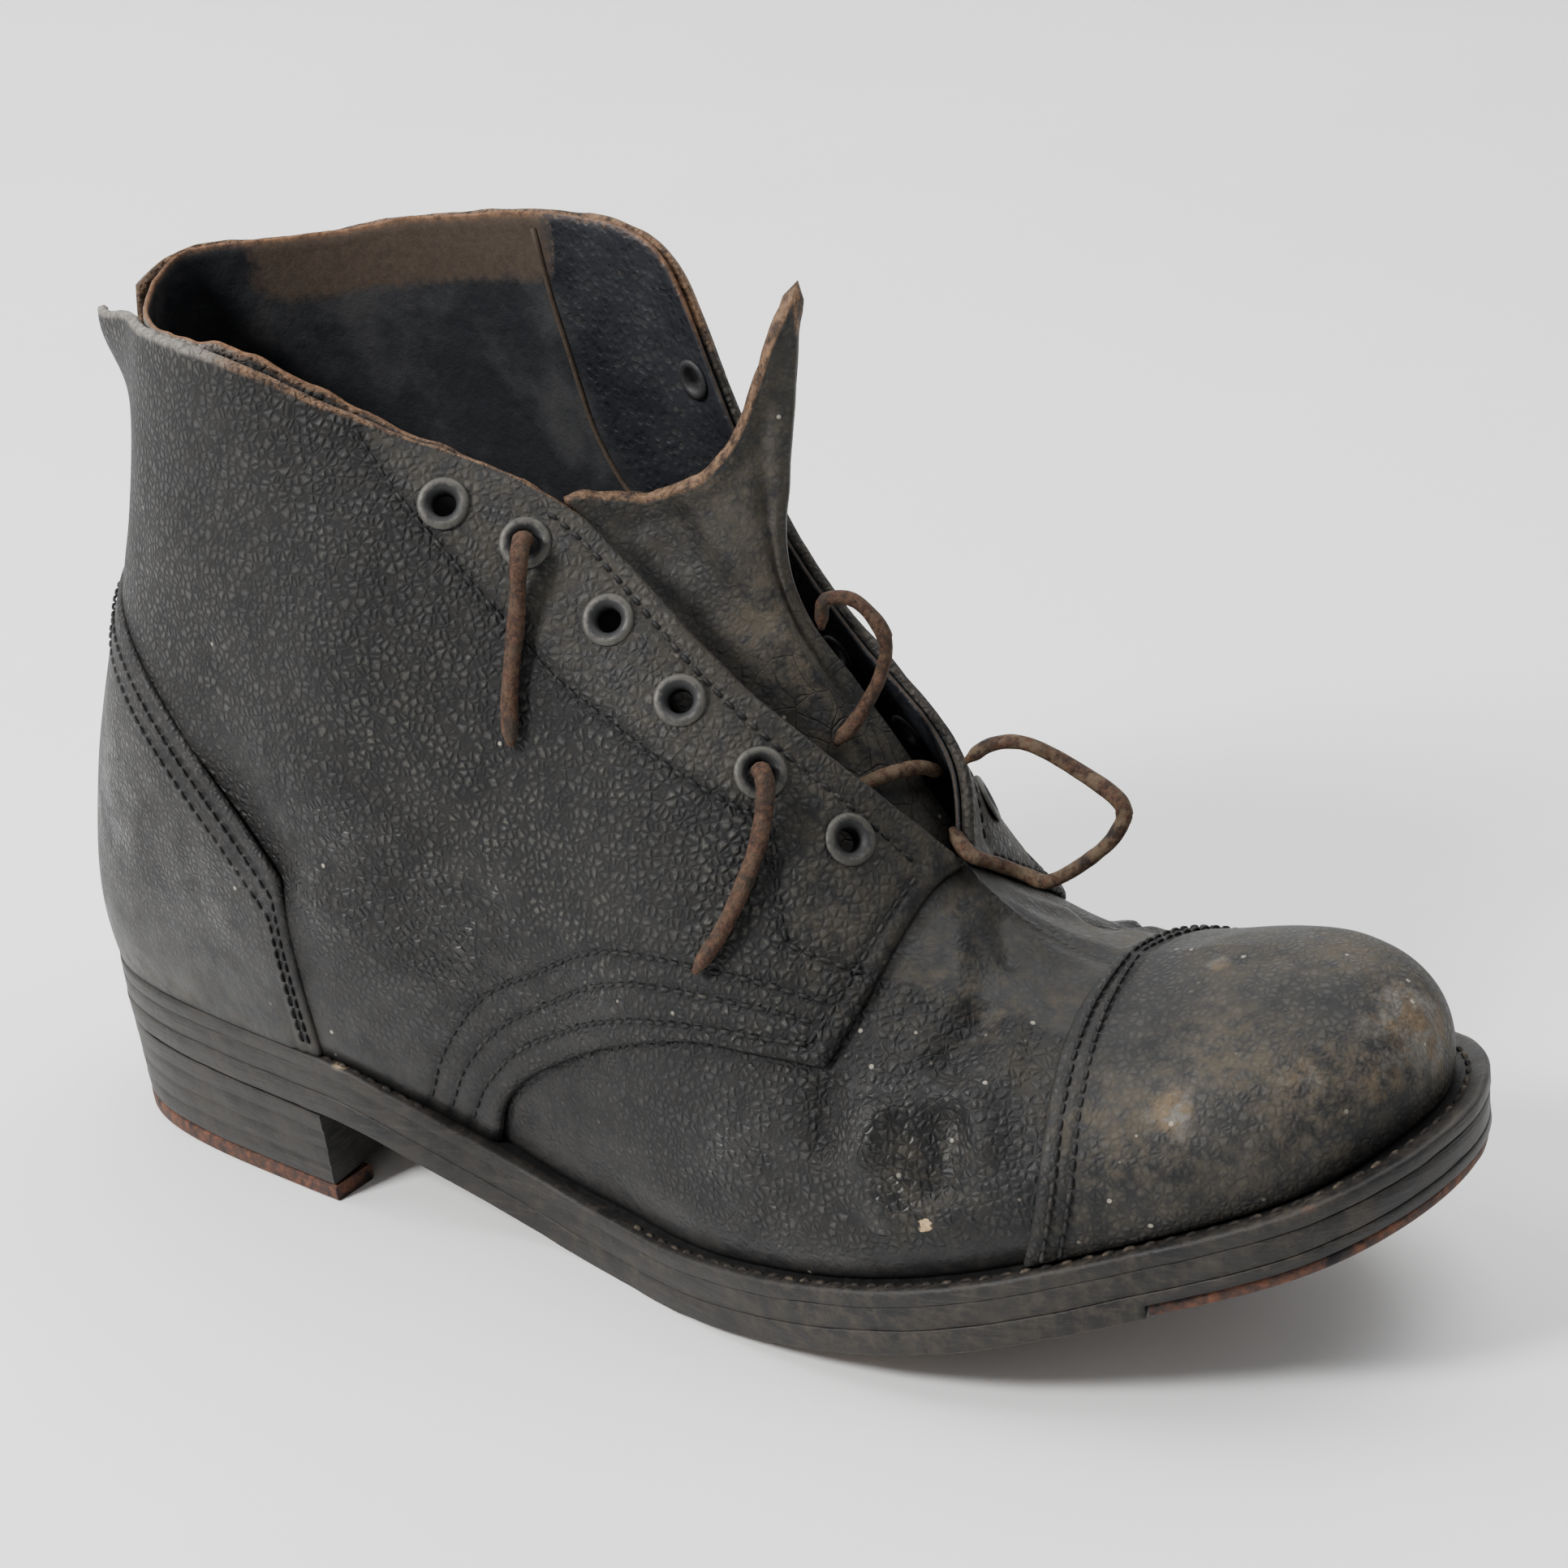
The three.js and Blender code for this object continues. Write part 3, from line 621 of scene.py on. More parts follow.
def lining_leather():
    m = Material("lining_leather", Specular_IOR_Level=0.25)
    broad = m.noise(16, 5, 0.6)
    base = m.blend(m.between(broad, 0.4, 0.7), (0.009, 0.0095, 0.0115, 1), (0.028, 0.028, 0.029, 1))
    base = m.blend(
        m.times(m.between(m.noise(2.2, 5, 0.75), 0.55, 0.72), m.fact("dust")), base, (0.06, 0.055, 0.045),
    )
    band = m.between(m.plus(m.fact("band"), m.times(m.minus(m.noise(3, 5, 0.7), 0.5), 0.6)), 0.45, 0.75)
    base = m.blend(
        band, base, m.blend(m.noise(1.6, 5, 0.7), (0.02, 0.0145, 0.0115, 1), (0.075, 0.053, 0.037, 1)),
    )
    edge = m.between(m.times(m.fact("cut_edge"), m.fact("raw")), 0.25, 0.8)
    base = m.blend(
        edge, base,
        m.blend(m.between(m.noise(2.0, 6, 0.8), 0.3, 0.7), (0.03, 0.014, 0.008, 1), (0.2, 0.105, 0.055, 1)),
    )
    pebbles = m.times(m.between(m.cells(1.7, "F1", warp=0.9), 0.24, 0.58), m.fact("facing"))
    base = m.blend(m.times(pebbles, 0.6), base, (0.014, 0.015, 0.019))
    m.colour(base)
    soft = m.plus(0.5, m.times(band, 0.25))
    rough = m.plus(m.times(m.noise(3, 4), 0.3), m.minus(soft, m.times(m.fact("facing"), 0.28)))
    m.roughness(m.plus(rough, 0.0, clamp=True))
    m.bumps((m.noise(6, 4, 0.6), 0.5), (pebbles, 0.12), (m.noise(0.5, 5, 0.75), 0.1))
    return m.material


def sole_leather():
    """Black-dressed edges of stacked leather: thin streaks along the layers, scuffs and dried dirt."""
    m = Material("sole_leather", Specular_IOR_Level=0.28)
    streaks = m.noise(2.2, 5, 0.65, stretch=(0.16, 0.16, 2.6))
    broad = m.noise(13, 4, 0.6)
    base = m.blend(m.between(broad, 0.35, 0.7), (0.0075, 0.007, 0.007, 1), (0.02, 0.018, 0.016, 1))
    base = m.blend(m.times(m.between(streaks, 0.52, 0.74), 0.5), base, (0.045, 0.038, 0.031))
    base = m.blend(m.times(m.between(streaks, 0.44, 0.3), 0.6), base, (0.006, 0.006, 0.006))
    dust = m.times(m.fact("dust"), m.between(m.noise(3.4, 6, 0.72), 0.42, 0.68), clamp=True)
    base = m.blend(m.times(dust, 0.7), base, (0.075, 0.06, 0.044))
    tan = m.between(m.plus(m.fact("tan"), m.minus(m.noise(3, 6, 0.72), 0.7)), 0.25, 0.6)
    base = m.blend(tan, base, (0.085, 0.045, 0.028))
    base = m.blend(m.fact("mud"), base, m.blend(m.noise(1.2, 4), (0.3, 0.2, 0.1, 1), (0.6, 0.47, 0.3, 1)))
    base = m.blend(m.fact("shade"), base, (0.004, 0.004, 0.004))
    m.colour(base)
    m.roughness(m.plus(0.42, m.plus(m.times(broad, 0.2), m.times(dust, 0.25)), clamp=True))
    m.bumps((streaks, 0.22), (m.noise(1.1, 5, 0.7), 0.1), (m.noise(7, 3, 0.5), 0.35))
    return m.material


def tread_leather():
    m = Material("tread_leather", Specular_IOR_Level=0.2)
    wide = m.noise(24, 5, 0.6)
    base = m.blend(m.between(wide, 0.35, 0.65), (0.06, 0.042, 0.03, 1), (0.16, 0.115, 0.08, 1))
    base = m.blend(m.between(m.noise(1.5, 6, 0.75), 0.5, 0.75), base, (0.03, 0.025, 0.02))
    m.colour(base)
    m.roughness(m.plus(0.65, m.times(wide, 0.25)))
    m.bumps((m.noise(2.0, 6, 0.75, stretch=(0.5, 1, 1)), 0.3), (m.noise(9, 3), 0.5))
    return m.material


def insole_leather():
    m = Material("insole_leather", Specular_IOR_Level=0.2)
    wide = m.noise(20, 4, 0.6)
    base = m.blend(m.between(wide, 0.35, 0.7), (0.045, 0.03, 0.02, 1), (0.13, 0.085, 0.052, 1))
    base = m.blend(m.between(m.noise(1.4, 5, 0.75), 0.5, 0.72), base, (0.02, 0.016, 0.013))
    m.colour(base)
    m.roughness(m.plus(0.6, m.times(wide, 0.25)))
    m.bumps((m.noise(2.5, 5, 0.7), 0.25))
    return m.material


def rusty_iron():
    m = Material("rusty_iron", Specular_IOR_Level=0.4)
    flakes = m.noise(2.2, 6, 0.72)
    base = m.blend(m.between(flakes, 0.4, 0.68), (0.03, 0.014, 0.01, 1), (0.125, 0.046, 0.022, 1))
    base = m.blend(m.between(m.noise(7, 4, 0.6), 0.52, 0.66), base, (0.025, 0.022, 0.022))
    m.colour(base)
    m.link(m.times(m.between(m.noise(7, 4, 0.6), 0.5, 0.7), 0.7), m.shader.inputs["Metallic"])
    m.roughness(m.plus(0.55, m.times(flakes, 0.4)))
    m.bumps((flakes, 0.35), (m.noise(0.5, 4, 0.7), 0.08))
    return m.material


def eyelet_paint():
    m = Material("eyelet_paint", Specular_IOR_Level=0.35)
    chips = m.between(m.plus(m.fact("rim"), m.minus(m.noise(1.4, 5, 0.7), 0.72)), 0.3, 0.62)
    base = m.blend(m.noise(2.5, 4), (0.006, 0.006, 0.0065, 1), (0.02, 0.02, 0.021, 1))
    base = m.blend(chips, base, (0.09, 0.085, 0.075))
    m.colour(base)
    m.link(m.times(chips, 0.8), m.shader.inputs["Metallic"])
    m.roughness(m.plus(0.45, m.times(m.noise(1.2, 4), 0.3)))
    m.bumps((m.noise(0.7, 4, 0.7), 0.06))
    return m.material


def lace_leather():
    m = Material("lace_leather", Specular_IOR_Level=0.25)
    fibre = m.noise(1.1, 5, 0.75)
    base = m.blend(m.between(fibre, 0.35, 0.7), (0.02, 0.01, 0.0065, 1), (0.095, 0.045, 0.025, 1))
    base = m.blend(m.between(m.noise(5, 4, 0.6), 0.52, 0.68), base, (0.018, 0.012, 0.009))
    base = m.blend(m.times(m.fact("dust"), m.between(m.noise(2.6, 4), 0.42, 0.6)), base, (0.1, 0.07, 0.042))
    m.colour(base)
    m.roughness(m.plus(0.55, m.times(fibre, 0.35)))
    m.bumps((m.noise(0.9, 5, 0.75), 0.5), (m.noise(3, 3), 0.9))
    return m.material


def thread():
    m = Material("waxed_thread", Specular_IOR_Level=0.3)
    base = m.blend(
        m.between(m.noise(5, 4, 0.6), 0.48, 0.7), (0.006, 0.006, 0.006, 1), (0.03, 0.027, 0.023, 1),
    )
    m.colour(base)
    m.roughness(m.plus(0.5, m.times(m.noise(1), 0.3)))
    m.bumps((m.noise(0.35, 2), 0.1))
    return m.material


def welt_thread():
    m = Material("welt_thread", Specular_IOR_Level=0.2)
    base = m.blend(
        m.between(m.noise(3, 4, 0.6), 0.45, 0.7), (0.012, 0.01, 0.009, 1), (0.085, 0.066, 0.047, 1),
    )
    m.colour(base)
    m.roughness(m.plus(0.6, m.times(m.noise(1), 0.3)))
    m.bumps((m.noise(0.5, 2), 0.12))
    return m.material


# ---- Camera ----
CAMERA = (453.55, -410.14, 308.27)
AZIMUTH, ELEVATION, ROLL = 34.2393, 23.9872, -6.9308
LENS = 69.46


def add_camera():
    a, e, r = (math.radians(x) for x in (AZIMUTH, ELEVATION, ROLL))
    back = Vector((math.sin(a) * math.cos(e), -math.cos(a) * math.cos(e), math.sin(e)))
    right = Vector((math.cos(a), math.sin(a), 0))
    up = back.cross(right)
    x = right * math.cos(r) + up * math.sin(r)
    y = -right * math.sin(r) + up * math.cos(r)
    data = bpy.data.cameras.new("camera")
    data.lens = LENS
    data.sensor_width = 36
    data.sensor_height = 36
    data.clip_start = 0.01
    camera = bpy.data.objects.new("camera", data)
    turn = Matrix((x, y, back)).transposed().to_4x4()
    camera.matrix_world = Matrix.Translation(Vector(at(CAMERA))) @ turn
    bpy.context.scene.collection.objects.link(camera)
    bpy.context.scene.camera = camera


def add_light(name, place, aim, size, power, colour=(1, 1, 1)):
    data = bpy.data.lights.new(name, "AREA")
    data.shape = "RECTANGLE"
    data.size, data.size_y = size
    data.energy = power
    data.color = colour
    lamp = bpy.data.objects.new(name, data)
    lamp.location = Vector(place)
    lamp.rotation_euler = (Vector(aim) - Vector(place)).to_track_quat("-Z", "Y").to_euler()
    bpy.context.scene.collection.objects.link(lamp)


def add_studio():
    floor_points = []
    faces = []
    # A floor that curves up into a wall far behind the boot.
    profile = [(-1.6, 0), (0.55, 0), (0.62, 0.004), (0.68, 0.02), (0.72, 0.06), (0.74, 0.12), (0.74, 1.6)]
    a = math.radians(AZIMUTH)
    away = Vector((-math.sin(a), math.cos(a), 0))
    across = Vector((math.cos(a), math.sin(a), 0))
    for d, z in profile:
        for s in (-2.2, 2.2):
            p = away * d + across * s
            floor_points.append((p.x * 1000 + HEEL_CENTRE, p.y * 1000, z * 1000))
    for k in range(len(profile) - 1):
        faces.append([2 * k, 2 * k + 1, 2 * k + 3, 2 * k + 2])
    m = Material("studio_card", roughness=0.55)
    wall = m.noise(60, 3, 0.5)
    m.colour(m.blend(wall, (0.86, 0.86, 0.85, 1), (0.89, 0.89, 0.88, 1)))
    floor = make_object("studio_floor", np.array(floor_points), faces, m.material)
    world = bpy.data.worlds.new("studio")
    bpy.context.scene.world = world
    world.use_nodes = True
    world.node_tree.nodes["Background"].inputs["Color"].default_value = (0.86, 0.9, 0.95, 1)
    world.node_tree.nodes["Background"].inputs["Strength"].default_value = 0.4
    add_light("window", (-0.75, -0.15, 1.1), (0.1, 0, 0.05), (0.7, 0.7), 9)
    add_light("ceiling", (0.45, 0.35, 1.35), (0.1, 0, 0.05), (1.2, 0.9), 16)
    add_light("front", (-0.4, -0.85, 0.95), (0.08, 0, 0.07), (0.3, 0.3), 25)


add_camera()
add_studio()

LEATHER = upper_leather(
    "pebbled_leather", 0.36, (0.0075, 0.0075, 0.008), (0.08, 0.075, 0.061), (0.06, 0.05, 0.034), 0.13, 0.5,
    1.6,
)
SMOOTH = upper_leather(
    "smooth_leather", 0.25, (0.009, 0.009, 0.0095), (0.08, 0.075, 0.063), (0.072, 0.06, 0.042), 0.24, 0.55,
    1.4,
)
LINING = lining_leather()
SOLE = sole_leather()
TREAD = tread_leather()
INSOLE_SKIN = insole_leather()
RUST = rusty_iron()
PAINT = eyelet_paint()
LACE_SKIN = lace_leather()
THREAD = thread()
WELT_THREAD = welt_thread()


def settle(obj, slot, *nodes):
    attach(obj, "root")
    if nodes:
        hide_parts(*nodes)
    return obj


# ---- Laces ----
LACE_BAR = [(192, -7, 91.5), (195.5, 0, 92), (198, 8, 90.5), (198.8, 14, 87)]
LACE_END_UPPER = [
    (137.9, -16.7, 135.8),
    (140, -20.4, 138.5),
    (141, -23.6, 135.5),
    (140.3, -25.7, 126),
    (139.6, -29.7, 114),
    (139.3, -31.7, 104),
]
LACE_END_LOWER = [
    (183.2, -19.9, 99.2),
    (185.9, -23.2, 101.9),
    (188, -25.8, 99),
    (187.4, -30, 90),
    (184.4, -36.8, 79.5),
    (179.4, -41.2, 71),
]
LACE_LOOP = [
    (188.7, -3.6, 98.7),
    (190.6, 1.6, 102),
    (194, 5, 109),
    (195, 6, 116),
    (190, 6, 122),
    (185, 4, 122.5),
    (183.5, 4, 117),
]
LACE_TANGLE = [
    (206, 4, 81.5),
    (211.2, 0.5, 79),
    (215, 4.5, 75.5),
    (218.5, 7, 73),
    (223, 7, 72.5),
    (230, 8, 77),
    (235, 10, 82),
    (235.5, 12, 87),
    (226, 14, 91.5),
    (218, 12, 96),
    (211, 12, 95),
    (206.5, 10, 92),
]


def lace_piece(name, route, node, radius=1.7, dust=0.25):
    path = spline(route, 12 * len(route))
    fray = 1 + 0.1 * noise(path, 6, 4) + 0.06 * noise(path, 2.2, 8)
    ends = np.minimum(1, 0.45 + 0.55 * ease(np.minimum(np.arange(len(path)), np.arange(len(path))[::-1]) / 5))
    ring = 10
    facts = {"dust": np.full(len(path) * ring + 2, dust)}
    piece = tube(name, path, radius * fray * ends, LACE_SKIN, sides=ring, flatten=0.82, facts=facts)
    settle(piece, "lace_leather", node)
    return piece


lace_piece("lace_end_upper_piece", LACE_END_UPPER, "lace_end_upper")
lace_piece("lace_end_lower_piece", LACE_END_LOWER, "lace_end_lower")
lace_piece("lace_loop_piece", LACE_LOOP, "lace_loop", 1.5)
lace_piece("lace_tangle_piece", LACE_TANGLE, "lace_tangle", 1.6, dust=0.8)
lace_piece("lace_bar_piece", LACE_BAR, "lace_bar", 1.7, dust=0.8)


# ---- Upper: vamp with lining, then quarters, counter and toe cap ----
def facing_rib(side, distance):
    step = 0.01 if side == "medial" else -0.01
    w = float(RIB_COUNT - THROAT if side == "medial" else THROAT)
    gone = 0
    while gone < distance:
        gone += float(np.linalg.norm(top_line(np.array(w + step)) - top_line(np.array(w))))
        w += step
    return w


def eyelet_places(side):
    found = []
    for distance in EYELETS[side]["up"]:
        w = facing_rib(side, distance)
        v = 1.0
        top = top_line(np.array(w))
        while np.linalg.norm(last_point(w, v) - top) < EYELETS[side]["inset"]:
            v -= 0.002
        found.append((last_point(w, v), face_direction(w, v)))
    return found


EYELET_SPOTS = eyelet_places("lateral") + eyelet_places("medial")

QUARTER_CORNER = (7.29, 0.476)
QUARTER_CURVE = [
    (4.68, 0.0),
    (4.8, 0.09),
    (5.1, 0.178),
    (5.6, 0.273),
    (6.1, 0.362),
    (6.5, 0.422),
    (6.95, 0.46),
    QUARTER_CORNER,
]
QUARTER_RISE = [QUARTER_CORNER, (7.4, 0.545), (7.55, 0.66), (7.68, 0.8), (7.76, 0.91), (7.86, 1.0)]
STITCH_ROWS = [
    [
        (4.55, 0.02), (4.7, 0.1), (5.0, 0.195), (5.52, 0.295), (6.08, 0.388), (6.6, 0.455), (7.0, 0.49),
        (7.18, 0.503),
    ],
    [(7.18, 0.503), (7.28, 0.56), (7.42, 0.67), (7.54, 0.8), (7.62, 0.9)],
    [
        (4.42, 0.02), (4.58, 0.11), (4.88, 0.21), (5.35, 0.31), (5.85, 0.405), (6.35, 0.477), (6.85, 0.528),
        (7.2, 0.545),
    ],
    [
        (4.3, 0.02), (4.45, 0.115), (4.76, 0.23), (5.22, 0.33), (5.7, 0.425), (6.2, 0.5), (6.78, 0.565),
        (7.27, 0.59),
    ],
]
FACING_SEAM = [
    (3.75, 0.985), (4.2, 0.87), (4.6, 0.79), (4.95, 0.745), (5.33, 0.73), (5.9, 0.765), (6.45, 0.805),
    (6.68, 0.825),
]
FACING_DROP = [(6.68, 0.825), (6.78, 0.76), (6.88, 0.69), (6.95, 0.655)]
BAR_LINE = [(6.95, 0.655), (7.2, 0.66), (7.48, 0.665)]
THROAT_ROW = [(4.95, 0.962), (5.6, 0.958), (6.4, 0.952), (7.1, 0.945), (7.56, 0.925)]
INNER_SEAM = [(18.45, 0.99), (18.35, 0.895), (18.1, 0.765), (17.7, 0.7), (17.1, 0.72), (16.4, 0.78)]


def front_line(count):
    """The quarter's front edge from the sole to its corner, then up to the throat."""
    low = round(count * 0.6)
    return np.concatenate([spline(QUARTER_CURVE, low), spline(QUARTER_RISE, count - low + 1)[1:]])


def edge_distance(points, line):
    """Distance from points to a polyline of points, in millimetres."""
    best = np.full(points.shape[:-1], 1e9)
    for a, b in zip(line[:-1], line[1:]):
        d = b - a
        t = np.clip(((points - a) @ d) / max(d @ d, 1e-9), 0, 1)
        best = np.minimum(best, np.linalg.norm(points - a - t[..., None] * d, axis=-1))
    return best


def hump(points, a, b, width):
    """A soft ridge from a to b that fades at its ends."""
    a, b = np.array(a, float), np.array(b, float)
    d = b - a
    t = ((points - a) @ d) / (d @ d)
    off = np.linalg.norm(points - a - np.clip(t, 0, 1)[..., None] * d, axis=-1)
    fade = ease(np.clip(t / 0.3 + 1 / 3, 0, 1)) * ease(np.clip((1 - t) / 0.3 + 1 / 3, 0, 1))
    return bell(off, width) * fade


# Creases where the toes bend: start and end in ribs and height up the rib, width and height in millimetres. A
# trough has a negative height.
CREASES = [
    ((7.66, 0.44), (7.54, 0.27), 3.6, 3.3),
    ((7.54, 0.27), (7.7, 0.13), 3.4, 1.7),
    ((7.34, 0.46), (7.3, 0.28), 2.5, -2.2),
    ((8.1, 0.44), (7.96, 0.2), 3.6, -2.8),
    ((8.36, 0.7), (8.02, 0.49), 2.9, -2.5),
    ((8.24, 0.5), (8.3, 0.3), 3.1, 1.6),
    ((8.22, 0.97), (8.48, 0.82), 2.5, -1.6),
    ((7.98, 0.88), (8.12, 0.66), 3.1, 1.4),
    ((8.5, 0.72), (8.46, 0.5), 2.5, 1.3),
    ((6.9, 0.3), (7.1, 0.14), 5.1, -1.2),
    ((14.2, 0.4), (14.44, 0.24), 3.6, 2.6),
    ((13.86, 0.46), (14.02, 0.2), 3.6, -2.6),
    ((14.68, 0.42), (14.74, 0.24), 2.9, -1.9),
    ((13.66, 0.74), (13.9, 0.5), 2.9, -2.0),
    ((13.82, 0.62), (13.7, 0.4), 2.7, 1.4),
    ((14.02, 0.9), (13.86, 0.7), 3.1, 1.3),
]
# Folds of the quarters round the ankle, in millimetres.
FOLDS = [
    ((88, -36, 70), (122, -41, 52), 9.0, 1.8),
    ((92, -34, 112), (128, -33, 78), 8.0, -1.4),
    ((66, -36, 95), (88, -37, 72), 8.0, -1.3),
    ((118, -38, 96), (150, -40, 70), 9.0, 1.1),
    ((60, -30, 140), (92, -34, 118), 10.0, 0.8),
    ((90, 36, 72), (124, 38, 55), 9.0, 1.5),
    ((92, 34, 116), (126, 32, 84), 8.0, -1.4),
    ((62, 34, 100), (86, 36, 74), 8.0, -1.1),
    ((128, 30, 120), (152, 34, 92), 7.0, 0.9),
]


def placed_creases():
    found = []
    for start, end, width, height in CREASES:
        a = last_point(np.array(start[0]), np.array(start[1]))
        b = last_point(np.array(end[0]), np.array(end[1]))
        found.append((a, b, width, height))
    return found + FOLDS


ALL_CREASES = placed_creases()


def relief(points):
    total = np.zeros(points.shape[:-1])
    for a, b, width, height in ALL_CREASES:
        total += height * hump(points, a, b, width)
    total += 0.35 * noise(points, 26, 2) + 0.2 * noise(points, 11, 6)
    return total


def upper_facts(w, v, points):
    """Where the leather is dusty, worn, polished and so on, with painted highlight in some worn spots."""
    folded = np.minimum(w, RIB_COUNT - w)
    low = ease((0.2 - v) / 0.2)
    seam_v = np.interp(
        folded, [3.75, 4.2, 4.6, 4.95, 5.33, 5.9, 6.45, 6.68, 6.95, 7.5],
        [0.985, 0.87, 0.79, 0.745, 0.73, 0.765, 0.805, 0.825, 0.66, 0.66],
    )
    facing = ease((v - seam_v) / 0.04) * (folded > 3.75)
    places = [
        (222, -30, 74, 17, 1.0), (229, -20, 72, 16, 1.0), (214, -8, 80, 12, 0.8), (205, -40, 74, 13, 0.6),
    ]
    places += [
        (240, -30, 62, 12, 0.7), (224, -46, 40, 12, 0.5), (235, 20, 62, 14, 0.8), (214, 32, 66, 16, 0.7),
    ]
    dust = 0.12 + 0.75 * spots(points, places) + 0.3 * facing + 0.12 * low
    # Worn spots: real rubbing, and on the outer quarter's middle also a painted highlight where the light catches
    # the leather.
    places = [
        (132, -39, 92, 27, 1.0), (150, -40, 78, 24, 0.9), (116, -36, 108, 22, 0.8), (196, -44, 66, 18, 0.8),
    ]
    places += [
        (219, -46, 50, 14, 0.8), (100, -34, 140, 22, 0.5), (160, -30, 104, 20, 0.8), (210, -50, 40, 18, 0.5),
    ]
    places += [
        (70, -32, 120, 24, 0.5), (188, -34, 84, 18, 0.9), (210, 40, 56, 20, 0.7), (130, 38, 80, 28, 0.8),
    ]
    worn = 0.2 + 0.8 * spots(points, places) - 0.2 * low
    places = [
        (96, -37, 76, 20, 0.8), (124, -41, 62, 22, 1.0), (146, -44, 56, 20, 0.9), (218, -48, 46, 14, 1.0),
    ]
    places += [
        (80, -36, 92, 14, 0.6), (186, -52, 40, 16, 0.8), (110, 38, 70, 26, 0.9), (214, 46, 46, 14, 0.9),
    ]
    polish = 0.12 + 0.88 * spots(points, places) + 0.3 * low
    places = [
        (226, -36, 62, 3.0, 0.5), (233, -6, 66, 3.0, 0.5), (230, -26, 70, 5.0, 0.42),
        (236, -18, 68, 4.0, 0.4),
    ]
    tan = spots(points, places)
    # The lower sides, the back of the leg and the facings are smoother than the quarter's middle.
    back_leg = ease((1.3 - folded) / 1.2) * 0.35
    waist = ease((0.3 - v) / 0.25) * ease((6.4 - folded) / 1.5)
    vamp = 0.35 * ease((folded - 7.3) / 0.4) * (v < 0.99)
    smooth = np.clip(
        np.maximum(0.95 * ease((0.13 - v) / 0.1), 0.75 * waist) + back_leg + 0.45 * facing + vamp, 0, 0.95,
    )
    cracked = spots(points, [(220, -38, 62, 12, 0.7), (232, -22, 68, 10, 0.7), (222, 30, 60, 14, 0.8)])
    specks = spots(points, [(225, -30, 68, 28, 1.0), (216, 20, 66, 16, 0.6), (200, -44, 66, 14, 0.6)])
    halo = np.zeros_like(v)
    for place, _ in EYELET_SPOTS:
        d = np.linalg.norm(points - place, axis=-1)
        halo = np.maximum(halo, bell(d - 5.6, 0.9))
    mud_spots = [(7.86, 0.155, 1.5), (7.98, 0.66, 0.6), (7.5, 0.672, 0.5), (7.98, 0.555, 0.6)]
    mud = np.zeros_like(v)
    for mw, mv, size in mud_spots:
        d = np.linalg.norm(points - last_point(np.array(mw), np.array(mv)), axis=-1)
        mud = np.maximum(mud, ease((size - d) / 0.5))
    return {
        "dust": dust,
        "worn": np.clip(worn + 0.55 * halo + 0.1 * facing, 0, 1.1),
        "polish": polish,
        "tan": tan,
        "smooth": smooth,
        "cracked": cracked,
        "specks": specks,
        "shade": 0.85 * ease((0.02 - v) / 0.02),
        "raw": np.zeros_like(v),
        "mud": 0.9 * mud,
        "pale": ease((3.0 - folded) / 0.6) * (w < TOE),
    }


def quarter_region(w, v, line):
    """Signed distance to the quarter's front edge in ribs: positive under the quarter."""
    folded = np.minimum(w, RIB_COUNT - w)
    edge_w = np.interp(v, line[:, 1], line[:, 0])
    return edge_w - folded


def settled_collar(W, V):
    """How far the collar has sunk at the back of the inner side."""
    return -1.6 * ease((V - 0.7) / 0.3) * bell(W - 20.4, 1.1)


def vamp_and_lining():
    per_rib, rows = 16, 90
    columns = int(RIB_COUNT * per_rib)
    w = np.arange(columns) / per_rib
    v = np.linspace(0, 1, rows + 1)
    W, V = np.meshgrid(w, v)
    line = front_line(200)
    line3d = skin(line[:, 0], line[:, 1], 0)
    base = last_point(W, V)
    mirrored = np.where(W > TOE, RIB_COUNT - W, W)
    mirror_base = last_point(mirrored, V)
    distance = edge_distance(mirror_base, line3d[::6])
    under = quarter_region(W, V, line) > 0
    under_amount = np.where(under, ease(distance / 3), 0)
    near_edge = np.where(under, 1, np.exp(-distance / 6))
    bump = relief(base) * np.where(under, 0.3, 1)
    bump -= 1.1 * ease((V - 0.93) / 0.07) * ease((mirrored - THROAT) / 0.4)
    out = bump - 1.5 * near_edge - 0.15 * under_amount
    capped = (W > cap_seam(V) + 0.12) & (W < RIB_COUNT - cap_seam(V) - 0.12)
    out = np.where(capped, -0.5, out)
    collar = ease((V - 0.96) / 0.04) * (mirrored < THROAT)
    outer = skin(W, V, out)
    thick = np.where(mirrored < THROAT, WALL + 0.1, WALL)
    inner = skin(W, V, np.minimum(-thick + 0.25 * noise(base, 14, 3), out - 0.9))
    split = collar * ease((W - 2.3) / 0.5) * ease((5.1 - W) / 0.6)
    rise = collar * (0.7 + 0.7 * rough_noise(base, 9, 12)) + 1.7 * split * (1 + 0.5 * noise(base, 5, 23))
    outer[..., 2] += rise
    inner[..., 2] += rise
    into = face_direction(W, V) * (split * 1.1)[..., None]
    inner -= into
    outer -= into * 0.5
    settled = settled_collar(W, V)
    outer[..., 2] += settled
    inner[..., 2] += settled
    facts = upper_facts(W, V, base)
    facts["shade"] = np.maximum(facts["shade"], np.where(under, 0.6, 0.95 * bell(distance, 1.5)))
    facts["raw"] = ease((V - 0.9) / 0.1) * (mirrored < THROAT) * mix(0.3, 1, ease((5.2 - mirrored) / 0.4))
    first = int(THROAT * per_rib)

    def joined(j):
        return min(j, columns - j) if first <= j <= columns - first else j

    obj = sheet_solid("vamp_and_lining", outer, inner, LEATHER, facts, wrap_columns=True, joined=joined)
    inner_mesh_material(obj, outer.shape[0] * outer.shape[1], W, V)
    return settle(obj, "upper_leather", "upper")


